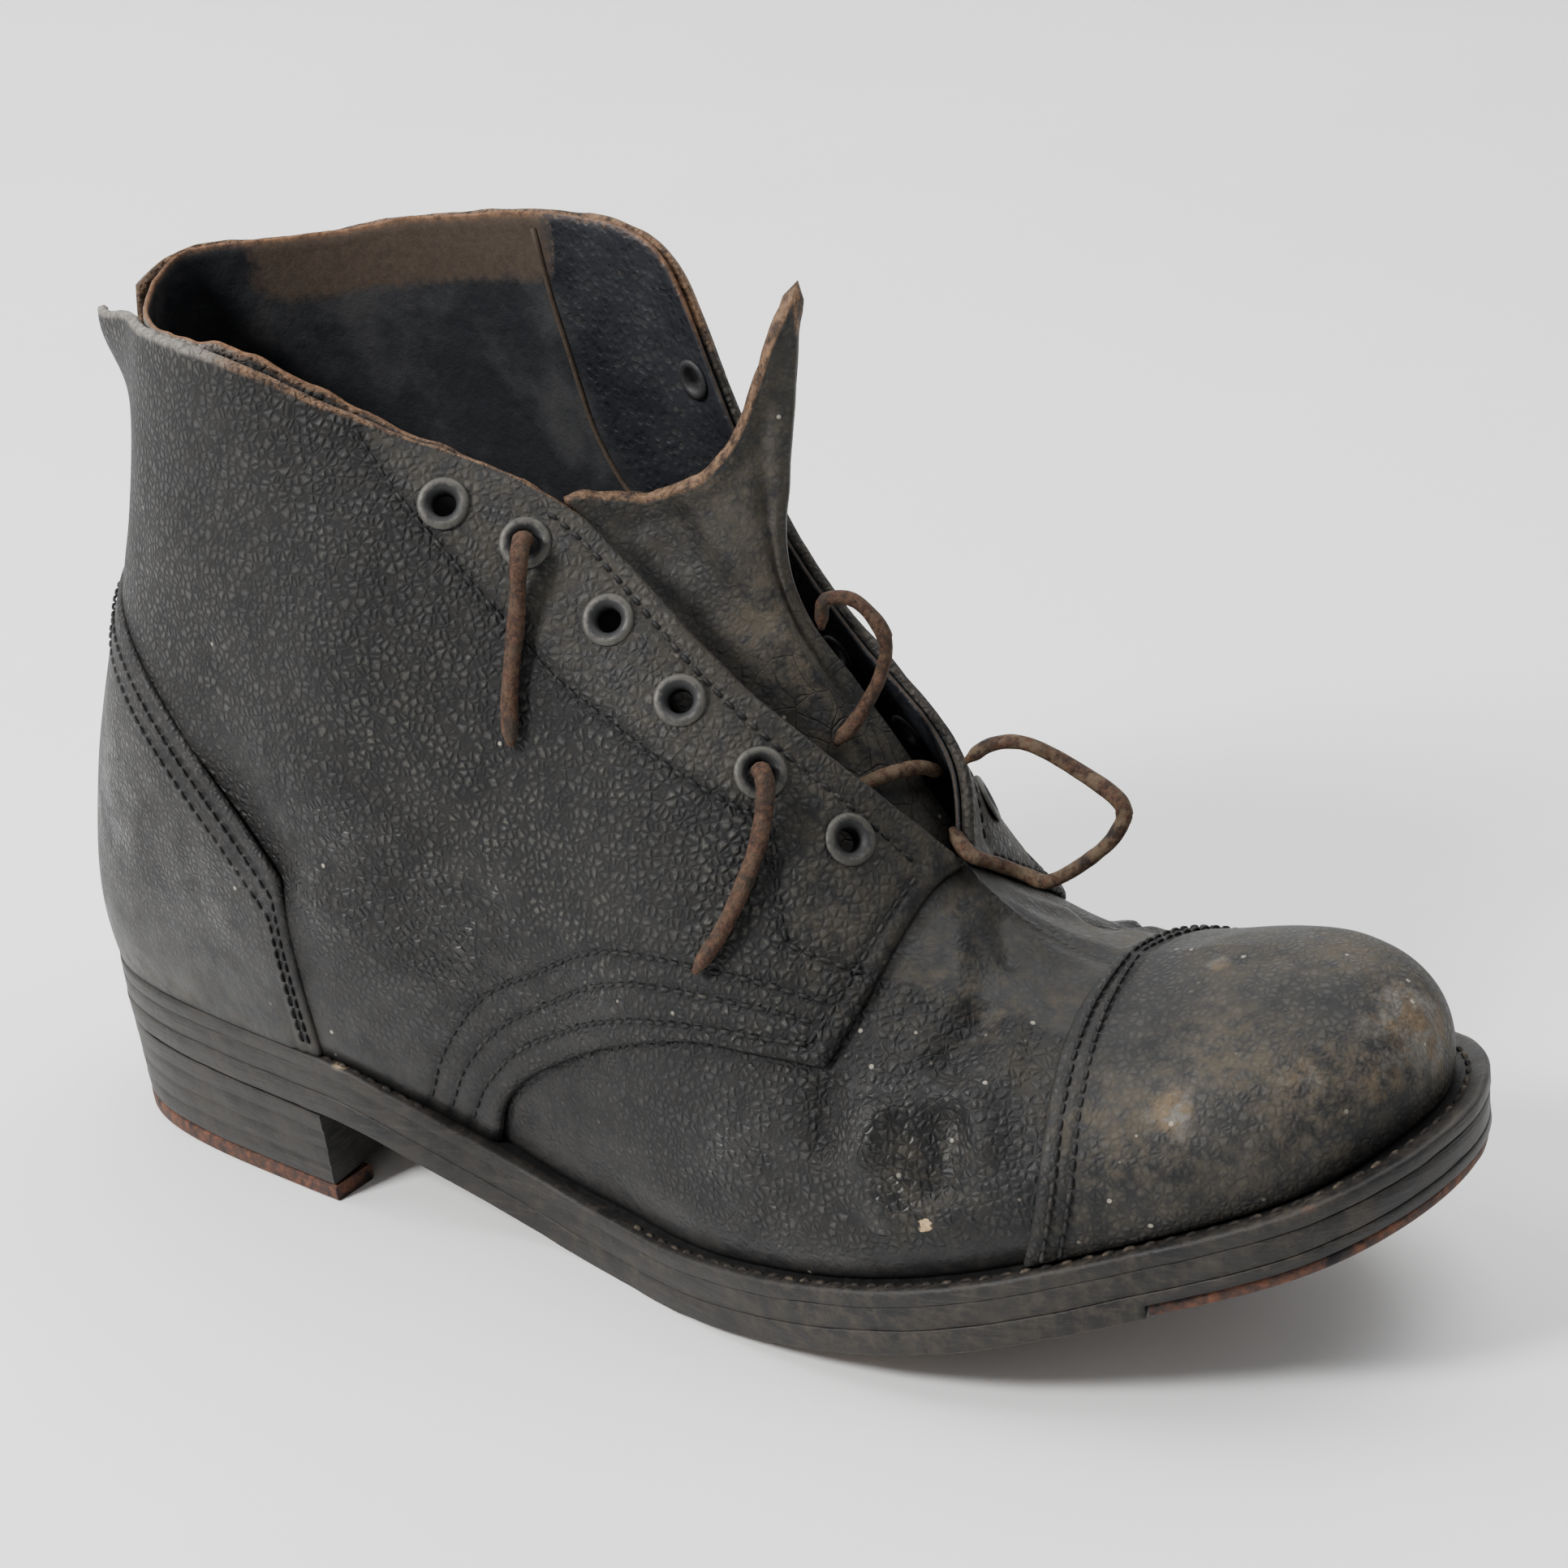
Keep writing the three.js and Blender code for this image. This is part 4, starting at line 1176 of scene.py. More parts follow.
def inner_mesh_material(obj, n, W, V):
    """The lining's side takes its own material."""
    obj.data.materials.append(LINING)
    inside = [p.index for p in obj.data.polygons if min(p.vertices) >= n]
    for k in inside:
        obj.data.polygons[k].material_index = 1
    for p in obj.data.polygons:
        if min(p.vertices) < n <= max(p.vertices):
            p.material_index = 1
    mirrored = np.minimum(W, RIB_COUNT - W)
    band = ease((V - 0.9) / 0.07) * np.where(
        W > TOE, ease((W - 18.3) / 0.1) * ease((20.9 - W) / 0.8), 0.5 * (mirrored < 5.2),
    )
    values = band.reshape(-1)
    full = np.zeros(len(obj.data.vertices))
    full[:n] = values
    full[n : 2 * n] = values
    full[2 * n :] = 1
    attribute = obj.data.attributes.new("band", "FLOAT", "POINT")
    attribute.data.foreach_set("value", full.astype(np.float32))
    seam = np.interp(W, [16.4, 17.1, 17.7, 18.1, 18.35, 18.45], [0.78, 0.72, 0.7, 0.765, 0.895, 1.0])
    lining_facing = (ease((V - seam) / 0.03) * (W > 14) * (W < 18.6)).reshape(-1)
    full = np.concatenate([lining_facing, lining_facing, np.zeros(len(full) - 2 * n)])
    attribute = obj.data.attributes.new("facing", "FLOAT", "POINT")
    attribute.data.foreach_set("value", full.astype(np.float32))


def quarter(side):
    """One quarter: from the back seam to its curved front edge."""
    rows, columns = 100, 150
    t = np.linspace(0, 1, rows + 1)
    s = np.linspace(0, 1, columns + 1)
    front = front_line(rows + 1)
    S, T = np.meshgrid(s, t)
    back_v = T
    W = S * front[:, 0][:, None]
    V = mix(back_v, front[:, 1][:, None], ease(S) * 0.5 + S * 0.5)
    if side == "medial":
        W = RIB_COUNT - W
    base = last_point(W, V)
    line3d = skin(np.where(side == "medial", RIB_COUNT - front[:, 0], front[:, 0]), front[:, 1], 0)
    distance = edge_distance(base, line3d[::3])
    bump = relief(base)
    pillow = 0.5 * ease(distance / 1.0) + 0.35

    def seam_distance(seam, count):
        wv = spline(seam, count)
        w_line = RIB_COUNT - wv[:, 0] if side == "medial" else wv[:, 0]
        return edge_distance(base, skin(w_line, wv[:, 1], 0))

    to_rows = [seam_distance(row, 60) for row in STITCH_ROWS]
    to_seams = [seam_distance(seam, 50) for seam in (FACING_SEAM, FACING_DROP, BAR_LINE, THROAT_ROW)]
    rows_depth = np.zeros_like(bump)
    for d in to_rows:
        rows_depth -= 0.5 * bell(d, 0.9)
    for d in to_seams:
        rows_depth -= 0.55 * bell(d, 1.0)
    outer_off = bump + pillow + rows_depth
    outer = skin(W, V, outer_off)
    inner = skin(W, V, bump * 0.6 - 1.25)
    flare = flare_of(W, V, side)
    outer += flare
    inner += flare
    facts = upper_facts(W, V, base)
    facts["raw"] = ease((V - 0.9) / 0.08) * mix(0.28, 1, ease((5.2 - np.minimum(W, RIB_COUNT - W)) / 0.4))
    seam_shade = np.zeros_like(V)
    for d in to_seams[:2]:
        seam_shade = np.maximum(seam_shade, 0.95 * bell(d, 0.8))
    for d in to_rows:
        seam_shade = np.maximum(seam_shade, 0.85 * bell(d, 0.75))
    facts["shade"] = np.maximum(facts["shade"], seam_shade)
    rubbed_edge = 0.7 * bell(distance, 0.9) * ease((distance - 0.1) / 0.3)
    facts["worn"] = np.clip(facts["worn"] + 0.5 * ease((V - 0.955) / 0.04) + rubbed_edge, 0, 1.2)
    if side == "medial":
        outer, inner = outer[:, ::-1], inner[:, ::-1]
        facts = {k: x[:, ::-1] for k, x in facts.items()}
    obj = sheet_solid(f"quarter_{side}", outer, inner, LEATHER, facts)
    return settle(obj, "upper_leather")


def flare_of(W, V, side):
    """The split back seam lets the outer quarter's corner lean out, and wear lowers the collar in places."""
    near_back = np.minimum(W, RIB_COUNT - W)
    up = ease((V - 0.8) / 0.2)
    lean = bell(near_back, 0.5) * up**2
    shift = np.zeros(W.shape + (3,))
    if side == "lateral":
        shift[..., 0] = -11 * lean
        shift[..., 1] = -1.5 * lean
        shift[..., 2] = -4.5 * lean
    else:
        shift[..., 0] = -1.5 * lean
        shift[..., 2] = settled_collar(W, V)
    edge = ease((V - 0.975) / 0.025)
    p = last_point(W, V)
    shift[..., 2] += edge * 0.7 * rough_noise(p, 8, 21)
    return shift


def counter_height(s):
    """How far up the ribs the counter reaches, from -1 to 1 round the heel."""
    return mix(COUNTER_SIDE, COUNTER_PEAK, 1 - np.abs(s) ** COUNTER_SQUARE)


def heel_counter():
    rows, columns = 44, 150
    r = np.linspace(0, 1, rows + 1)
    s = np.linspace(-1, 1, columns + 1)
    S, R = np.meshgrid(s, r)
    height = counter_height(S)
    W = S * (COUNTER_REACH - 0.15 * R)
    V = R * height
    base = last_point(W, V)
    rim = np.minimum((1 - R) * height, np.where(R < 1, (1 - np.abs(S)) * 0.9, 0)) * 90
    line3d = skin(s * (COUNTER_REACH - 0.15), counter_height(s), 0)
    along = np.linspace(0, 1, 20)
    side_low = skin(np.full(20, COUNTER_REACH) - 0.15 * along, COUNTER_SIDE * along, 0)
    side_other = skin(-(np.full(20, COUNTER_REACH) - 0.15 * along), COUNTER_SIDE * along, 0)
    distance = np.minimum(
        np.minimum(edge_distance(base, line3d[::3]), edge_distance(base, side_low)),
        edge_distance(base, side_other),
    )
    depth = -0.28 * bell(distance - 2.6, 0.8) - 0.28 * bell(distance - 5.6, 0.8)
    dents = 0.35 * noise(base, 18, 8)
    out = OVERLAY + GAP - 0.15 + 0.3 * ease(distance / 2) + depth + dents
    outer = skin(W, V, out)
    inner = skin(W, V, GAP - 0.1)
    facts = upper_facts(W, V, base)
    facts["smooth"] = 0.45 + 0.5 * ease((0.34 - V) / 0.3)
    facts["polish"] = 0.35 + 0.65 * spots(
        base, [(30, -30, 80, 20, 0.9), (58, -37, 66, 15, 0.8), (30, 30, 80, 22, 0.9)],
    )
    facts["worn"] = 0.3 + 0.5 * spots(
        base,
        [(40, -33, 92, 15, 0.9), (62, -37, 60, 12, 0.8), (12, -12, 110, 14, 0.7), (26, -24, 96, 12, 0.8)],
    )
    facts["dust"] = 0.16 + 0.3 * ease((0.12 - V) / 0.12)
    facts["tan"] = spots(base, [(12, -14, 105, 2.2, 0.35)])
    for centre in COUNTER_ROWS:
        facts["shade"] = np.maximum(facts["shade"], 0.55 * bell(distance - centre, 0.75))
    obj = sheet_solid("heel_counter_piece", outer, inner, SMOOTH, facts)
    return settle(obj, "smooth_leather", "heel_counter")


def cap_seam(v):
    return CAP_START + CAP_LEAN * v


def toe_cap():
    rows, columns = 60, 190
    v = np.linspace(0, 1, rows + 1)
    s = np.linspace(0, 1, columns + 1)
    S, V = np.meshgrid(s, v)
    W = mix(cap_seam(V), RIB_COUNT - cap_seam(V), S)
    base = last_point(W, V)
    line3d = np.concatenate([skin(cap_seam(v), v, 0), skin(RIB_COUNT - cap_seam(v), v, 0)[::-1]])
    distance = edge_distance(base, line3d[::2])
    depth = np.zeros_like(V)
    for centre in CAP_ROWS:
        depth -= 0.25 * bell(distance - centre, 0.7)
    dents = 0.5 * noise(base, 20, 4) + 0.15 * noise(base, 7, 5)
    out = OVERLAY + GAP - 0.15 + 0.3 * ease(distance / 2) + depth + dents
    outer = skin(W, V, out)
    inner = skin(W, V, GAP)
    facts = upper_facts(W, V, base)
    facts["smooth"] = np.full_like(V, 0.55)
    facts["polish"] = 0.1 + 0.5 * spots(
        base, [(262, -30, 60, 14, 0.9), (272, 6, 74, 16, 0.7), (286, -26, 48, 10, 0.7)],
    )
    places = [
        (270, -26, 62, 16, 1.0), (276, 0, 72, 18, 0.9), (258, -38, 44, 12, 0.8), (280, 18, 60, 16, 0.9),
        (292, -14, 58, 10, 1.0),
    ]
    facts["worn"] = 0.5 + 0.5 * spots(base, places)
    places = [
        (258, -36, 52, 17, 0.9), (268, -22, 67, 18, 1.0), (285, -20, 56, 14, 1.0), (262, 4, 72, 16, 0.6),
    ]
    places += [
        (250, -44, 34, 10, 0.6), (280, 14, 62, 16, 0.8), (276, -34, 46, 12, 0.7), (296, 4, 52, 12, 0.8),
    ]
    facts["dust"] = 0.12 + 0.85 * spots(base, places)
    spot = last_point(np.array(9.33), np.array(0.37))
    second = last_point(np.array(10.05), np.array(0.365))
    third = last_point(np.array(10.53), np.array(0.235))
    upper_spot = last_point(np.array(10.08), np.array(0.905))
    rim = last_point(np.array(10.9), np.array(0.32))
    places = [(*spot, 6.5, 0.82), (*(spot + [4, 3, -3]), 4.5, 0.8), (*second, 6.0, 0.62), (*third, 7.0, 0.6)]
    places += [
        (*upper_spot, 3.2, 0.7), (*rim, 11.0, 0.78), (*(rim + [-4, -6, 6]), 8.0, 0.6),
        (*(second + [6, 4, 4]), 4, 0.55), (279, 24, 58, 6, 0.6),
    ]
    facts["tan"] = spots(base, places)
    facts["specks"] = np.full_like(V, 0.45)
    facts["cracked"] = np.zeros_like(V)
    for centre in CAP_ROWS:
        facts["shade"] = np.maximum(facts["shade"], 0.55 * bell(distance - centre, 0.7))

    def joined(j):
        return min(j, columns - j)

    obj = sheet_solid("toe_cap_piece", outer, inner, SMOOTH, facts, joined=joined)
    return settle(obj, "smooth_leather", "toe_cap")


vamp_and_lining()
quarter("lateral")
quarter("medial")
heel_counter()
toe_cap()


# ---- Stitching ----
def both_sides(rows, height, count=90):
    paths = []
    for row in rows:
        wv = spline(row, count)
        other = np.stack([RIB_COUNT - wv[:, 0], wv[:, 1]], -1)
        for line in (wv, other):
            base = last_point(line[:, 0], line[:, 1])
            paths.append((line, relief(base) + height))
    return paths


def counter_line(inset_v, inset_s):
    s = np.linspace(-1 + inset_s, 1 - inset_s, 160)
    scaled = s / (1 - inset_s)
    top = counter_height(scaled) - inset_v
    wv = np.stack([s * 3.35, top], -1)
    down = np.stack([np.full(30, wv[-1, 0]) + np.linspace(0, 0.14, 30), np.linspace(wv[-1, 1], 0.02, 30)], -1)
    up = down[::-1] * np.array([-1, 1])
    return np.concatenate([up, wv, down])


def cap_line(shift):
    v = np.linspace(0.02, 0.995, 90)
    w = cap_seam(v) + shift
    near = np.stack([w, v], -1)
    return [near, np.stack([RIB_COUNT - w, v], -1)]


sewn = both_sides(STITCH_ROWS, 0.2)
sewn += both_sides([FACING_SEAM, FACING_DROP, BAR_LINE, THROAT_ROW], 0.2)
settle(stitches("quarter_stitches", sewn, THREAD, pitch=2.7, stitch=2.3, width=0.8, seed=1), "upper_leather")
lines = [(counter_line(0.028, 0.012), OVERLAY + GAP), (counter_line(0.06, 0.028), OVERLAY + GAP)]
lines += [(line, OVERLAY + GAP) for shift in (0.075, 0.17) for line in cap_line(shift)]
settle(
    stitches("cap_and_counter_stitches", lines, THREAD, pitch=2.6, stitch=2.3, width=0.85, seed=2),
    "smooth_leather",
)
inner_line = spline(INNER_SEAM, 90)
cut_edge = skin(inner_line[:, 0], inner_line[:, 1], -WALL - 0.25)
rope = tube(
    "facing_lining_edge", cut_edge, 0.55, LINING, sides=8, facts={"band": np.ones(len(cut_edge) * 8 + 2)},
)
settle(rope, "upper_leather")
settle(
    stitches(
        "lining_stitches", [(inner_line, -WALL - 0.25)], WELT_THREAD, pitch=2.6, stitch=2.0, width=0.5,
        proud=-0.1, seed=3,
    ),
    "upper_leather",
)

# ---- Tongue ----
TONGUE_RAILS = [
    [(217, -15, 56), (201, -17, 69), (184, -18, 85), (167, -17, 104), (153, -12, 123), (140, -5, 140.5)],
    [(224, 3, 58), (208, 2, 68), (194, 1, 86), (181, 0, 107), (169.5, 0, 126), (161, 1, 142.5)],
    [(217, 15, 53), (205, 14, 69), (192, 11, 94), (182, 9, 118), (179.5, 10, 142), (183.6, 8, 178.5)],
]


def catmull(points, t):
    """The same curve through points as the CAD source's, centripetal, at t from 0 to 1."""
    p = np.asarray(points, float)
    n = len(p) - 1
    place = np.clip(np.asarray(t, float) * n, 0, n)
    k = np.minimum(np.floor(place).astype(int), n - 1)
    u = (place - k)[..., None]
    first, last = 2 * p[0] - p[1], 2 * p[-1] - p[-2]
    q = np.concatenate([[first], p, [last]])
    a, b, c, d = q[k], q[k + 1], q[k + 2], q[k + 3]
    ab = np.maximum(np.linalg.norm(b - a, axis=-1, keepdims=True) ** 0.5, 1e-4)
    bc = np.maximum(np.linalg.norm(c - b, axis=-1, keepdims=True) ** 0.5, 1e-4)
    cd = np.maximum(np.linalg.norm(d - c, axis=-1, keepdims=True) ** 0.5, 1e-4)
    t1 = ((b - a) / ab - (c - a) / (ab + bc) + (c - b) / bc) * bc
    t2 = ((c - b) / bc - (d - b) / (bc + cd) + (d - c) / cd) * bc
    return b + t1 * u + (-3 * b + 3 * c - 2 * t1 - t2) * u**2 + (2 * b - 2 * c + t1 + t2) * u**3


def tongue_middle(s, t):
    rails = np.stack([catmull(r, t) for r in TONGUE_RAILS], 0)
    out = np.zeros(np.shape(s) + (3,))
    flat_s, flat_rails, flat = np.ravel(s), rails.reshape(3, -1, 3), out.reshape(-1, 3)
    for k in range(len(flat_s)):
        flat[k] = catmull(flat_rails[:, k], flat_s[k])
    return flat.reshape(out.shape)


def tongue():
    rows, columns = 90, 44
    S, T = np.meshgrid(np.linspace(0, 1, columns + 1), np.linspace(0, 1, rows + 1))
    middle = tongue_middle(S, T)
    d = 0.02
    across = tongue_middle(np.minimum(1, S + d), T) - tongue_middle(np.maximum(0, S - d), T)
    up = tongue_middle(S, np.minimum(1, T + d)) - tongue_middle(S, np.maximum(0, T - d))
    n = unit(np.cross(across, up))
    fold = 1.3 * bell(S - 0.62 + 0.25 * (T - 0.5), 0.07) * ease((T - 0.3) / 0.3)
    fold -= 1.2 * bell(S - 0.78, 0.06) * ease((T - 0.4) / 0.3)
    fold += 0.9 * noise(middle, 13, 5) + 0.4 * noise(middle, 5, 6)
    edge = ease((T - 0.95) / 0.05)
    thick = TONGUE / 2 + 1.3 * edge + 0.6 * edge * rough_noise(middle, 3, 7)
    outer = middle + n * (fold + thick)[..., None]
    inner = middle + n * (fold - thick)[..., None]
    drop = 2.6 * np.sin(np.pi * np.clip((S - 0.45) / 0.55, 0, 1)) ** 1.2 * ease((T - 0.6) / 0.4)
    ragged = edge[..., None] * np.array([0, 0, 1]) * rough_noise(middle, 5, 31)[..., None]
    ragged = ragged - drop[..., None] * np.array([-0.25, 0, 1])
    fallen_in = 5.0 * ease((S - 0.55) / 0.45) * bell(T - 0.68, 0.17)
    blunt = 1.8 * ease((S - 0.88) / 0.12) * ease((T - 0.92) / 0.08)
    hollow = 3.0 * bell(S - 0.25, 0.2) * ease((T - 0.5) / 0.3)
    moved = fallen_in[..., None] * np.array([-0.83, -0.56, 0]) - blunt[..., None] * np.array([0, 0, 1])
    moved = moved - n * hollow[..., None]
    outer += ragged + moved
    inner += ragged + moved
    facts = {
        "dust": 0.35 + 0.65 * ease(noise(middle, 16, 9) + 0.3) * ease((S - 0.2) / 0.3),
        "worn": 0.55 + 0.5 * ease(noise(middle, 12, 19)) * ease((S - 0.2) / 0.4),
        "polish": np.full_like(T, 0.1),
        "tan": 0.22 * ease((T - 0.9) / 0.1) + 0.3 * bell(S - 0.6, 0.07) * ease((T - 0.5) / 0.3),
        "smooth": np.full_like(T, 0.65),
        "cracked": 0.5 * ease((0.8 - T) / 0.3),
        "specks": np.full_like(T, 0.2),
        "shade": np.zeros_like(T),
        "raw": ease((T - 0.93) / 0.05),
    }
    obj = sheet_solid("tongue_piece", outer, inner, SMOOTH, facts, bulge=0.3)
    return settle(obj, "upper_leather", "tongue")


tongue()


# ---- Eyelets ----
def eyelet(side, number, place, out):
    """A rolled ring whose barrel goes through both layers and is clenched inside."""
    profile = [
        (EYELET_HOLE, -WALL - 1.0),
        (EYELET_HOLE + 0.9, -WALL - 1.25),
        (EYELET_HOLE + 1.7, -WALL - 0.95),
        (EYELET_HOLE + 1.5, -WALL - 0.6),
        (EYELET_BARREL, -WALL - 0.5),
        (EYELET_BARREL, 0.2),
        (EYELET_FLANGE - 0.7, 0.25),
        (EYELET_FLANGE - 0.2, 0.4),
        (EYELET_FLANGE - 0.25, 0.75),
        (EYELET_FLANGE - 0.7, 1.1),
        (EYELET_FLANGE - 1.4, 1.2),
        (EYELET_FLANGE - 2.0, 0.9),
        (EYELET_HOLE + 0.1, 0.3),
        (EYELET_HOLE, -0.3),
    ]
    rim = [0, 0.3, 0.2, 0, 0, 0, 0, 0.6, 0.75, 0.8, 0.7, 0.4, 0.1, 0]
    sides = 36
    out = np.asarray(out)
    helper = np.array([0, 0, 1.0])
    a = unit(np.cross(out, helper))
    b = np.cross(out, a)
    points, facts = [], []
    angles = np.linspace(0, 2 * np.pi, sides, endpoint=False)
    for t in angles:
        for (r, h), fact in zip(profile, rim):
            points.append(place + (a * math.cos(t) + b * math.sin(t)) * r + out * h)
            facts.append(fact)
    n = len(profile)
    faces = []
    for j in range(sides):
        for i in range(n):
            k = (i + 1) % n
            m = (j + 1) % sides
            faces.append([j * n + i, j * n + k, m * n + k, m * n + i])
    obj = make_object(f"eyelet_{side}_{number}_ring", np.array(points), faces, PAINT, facts={"rim": facts})
    return settle(obj, "eyelet_paint", f"eyelet_{side}_{number}")


def cut_away(obj, tool):
    cut = obj.modifiers.new("cut", "BOOLEAN")
    cut.object = tool
    cut.operation = "DIFFERENCE"
    cut.solver = "EXACT"
    bpy.context.view_layer.objects.active = obj
    bpy.ops.object.modifier_apply(modifier=cut.name)


def punch_holes(names, places):
    """Round holes through the sheets where the eyelets stand."""
    cutters = []
    for place, out in places:
        bpy.ops.mesh.primitive_cylinder_add(vertices=28, radius=(EYELET_BARREL - 0.15) / 1000, depth=0.014)
        tool = bpy.context.active_object
        turn = Vector(out).to_track_quat("Z", "Y")
        tool.matrix_world = Matrix.Translation(Vector(at(place))) @ turn.to_matrix().to_4x4()
        cutters.append(tool)
    bpy.ops.object.select_all(action="DESELECT")
    for tool in cutters:
        tool.select_set(True)
    bpy.context.view_layer.objects.active = cutters[0]
    bpy.ops.object.join()
    tool = bpy.context.active_object
    for name in names:
        cut_away(bpy.data.objects[name], tool)
    bpy.data.objects.remove(tool)


for side in ("lateral", "medial"):
    places = eyelet_places(side)
    punch_holes(["vamp_and_lining", f"quarter_{side}"], places)
    for k, (place, out) in enumerate(places):
        lifted = place + out * float(relief(place[None])[0] + 0.35)
        eyelet(side, k + 1, lifted, out)


# ---- Soles ----
def sole_ring(inset, w):
    return sole_edge(w, np.broadcast_to(inset, w.shape))


def edge_band(name, inset, low, high, material, slot, nodes, round_edge=0.5, wear=0.0):
    """A full layer with a rounded, slightly uneven edge."""
    columns = 420
    w = np.arange(columns) / columns * RIB_COUNT
    profile = [(7, high), (round_edge, high), (0.12, high - round_edge * 0.45), (0.0, high - round_edge)]
    profile += [
        (0.0, mix(high - round_edge, low + round_edge, 0.5)), (0.0, low + round_edge),
        (0.12, low + round_edge * 0.45),
    ]
    profile += [(round_edge, low), (7, low)]
    grid = []
    for extra, level in profile:
        ring = sole_ring(inset + extra, w)
        z = underside(ring[:, 0]) + level
        p = with_height(ring, z)
        uneven = 0.22 * rough_noise(p, 9, 14) + wear * noise(p, 4, 15)
        fade = 1 if extra < 3 else 0
        p[:, :2] += outward(w) * (uneven * fade)[:, None]
        grid.append(p)

    def inner_rings(edge, level):
        """Rings that close the layer towards its middle line."""
        mirror = sole_ring(inset + 7, (RIB_COUNT - w) % RIB_COUNT)
        rings = []
        for share in (0.35, 0.7, 0.985):
            ring = edge.copy()
            ring[:, :2] = mix(ring[:, :2], (ring[:, :2] + mirror) / 2, share)
            ring[:, 2] = underside(ring[:, 0]) + level
            rings.append(ring)
        return rings

    points = np.stack(inner_rings(grid[0], high)[::-1] + grid + inner_rings(grid[-1], low))
    names = numbered(points)
    faces = [f[::-1] for f in grid_faces(names, True)]
    # The slits at the middle line are closed by joining mirrored points.
    half = columns // 2
    for row, flip in ((0, False), (points.shape[0] - 1, True)):
        for j in range(half):
            a, b = names[row, j], names[row, (j + 1) % columns]
            c, d = names[row, (columns - j - 1) % columns], names[row, (columns - j) % columns]
            quad = [int(a), int(b), int(c), int(d)]
            quad = [k for n, k in enumerate(quad) if k != quad[n - 1]]
            if len(set(quad)) >= 3:
                faces.append(quad if flip else quad[::-1])
    flat = points.reshape(-1, 3)
    obj = make_object(name, flat, faces, material, facts=sole_facts(flat))
    return settle(obj, slot, *nodes)


def sole_facts(p):
    dust = 0.3 + 0.45 * spots(
        p,
        [
            (210, -52, 18, 30, 0.9), (252, -44, 24, 22, 0.9), (150, -42, 12, 22, 0.6),
            (284, -28, 36, 16, 0.8), (200, 52, 16, 30, 0.9),
        ],
    )
    tan = spots(
        p,
        [
            (212, -53, 12, 2.6, 1.0), (92, -37.5, 36, 3.2, 0.8), (285, -30, 42, 4, 0.6),
            (236, -50, 15, 2.2, 0.5), (180, -50, 12, 2.0, 0.4),
        ],
    )
    mud = np.zeros(len(p))
    for x, y, z, size in [
        (212, -53.2, 9.5, 1.6), (90, -37.5, 33, 1.3), (222, -51.5, 19, 0.9), (252, -44, 24, 0.9),
    ]:
        d = np.linalg.norm((p - [x, y, z]) * [1, 1, 0.8], axis=1)
        mud = np.maximum(mud, ease((size - d + 0.4 * noise(p, 2, 41)) / 0.5))
    return {"dust": dust, "tan": tan, "shade": np.zeros(len(p)), "mud": 0.9 * mud}


def outsole_with_iron():
    obj = edge_band(
        "outsole_piece", 0.0, 0.0, OUTSOLE, SOLE, "sole_leather", ["outsole"], round_edge=0.35, wear=0.12,
    )
    obj.data.materials.append(TREAD)
    for p in obj.data.polygons:
        if p.normal.z < -0.6:
            p.material_index = 1
    return obj


def recess_cut(obj, start, end, reach, depth):
    """Takes the toe iron's seat out of the outsole."""
    w = np.linspace(start, end, 60)
    outer = sole_ring(-3, w)
    inner = sole_ring(reach, w)
    top_o = with_height(outer, underside(outer[:, 0]) + depth)
    top_i = with_height(inner, underside(inner[:, 0]) + depth)
    low_o, low_i = top_o - [0, 0, depth + 3], top_i - [0, 0, depth + 3]
    points = np.stack([top_o, top_i, low_i, low_o])
    names = numbered(points)
    faces = grid_faces(np.concatenate([names, names[:1]]), False)
    faces.append([int(names[k, 0]) for k in range(4)])
    faces.append([int(names[k, -1]) for k in range(4)][::-1])
    tool = make_object("tool", points.reshape(-1, 3), faces, smooth=False)
    tool_mesh_outward(tool)
    cut_away(obj, tool)
    bpy.data.objects.remove(tool)


def tool_mesh_outward(obj):
    bm = bmesh.new()
    bm.from_mesh(obj.data)
    bmesh.ops.recalc_face_normals(bm, faces=bm.faces)
    bm.to_mesh(obj.data)
    bm.free()


sole = outsole_with_iron()
recess_cut(sole, 9.0, 13.1, TOE_IRON_WIDTH + TOE_IRON_INSET + GAP, TOE_IRON + GAP)
edge_band(
    "midsole_piece", 0.12, MIDSOLE_AT - GAP + 0.02, MIDSOLE_AT + MIDSOLE + GAP - 0.02, SOLE, "sole_leather",
    ["midsole"], round_edge=0.22,
)


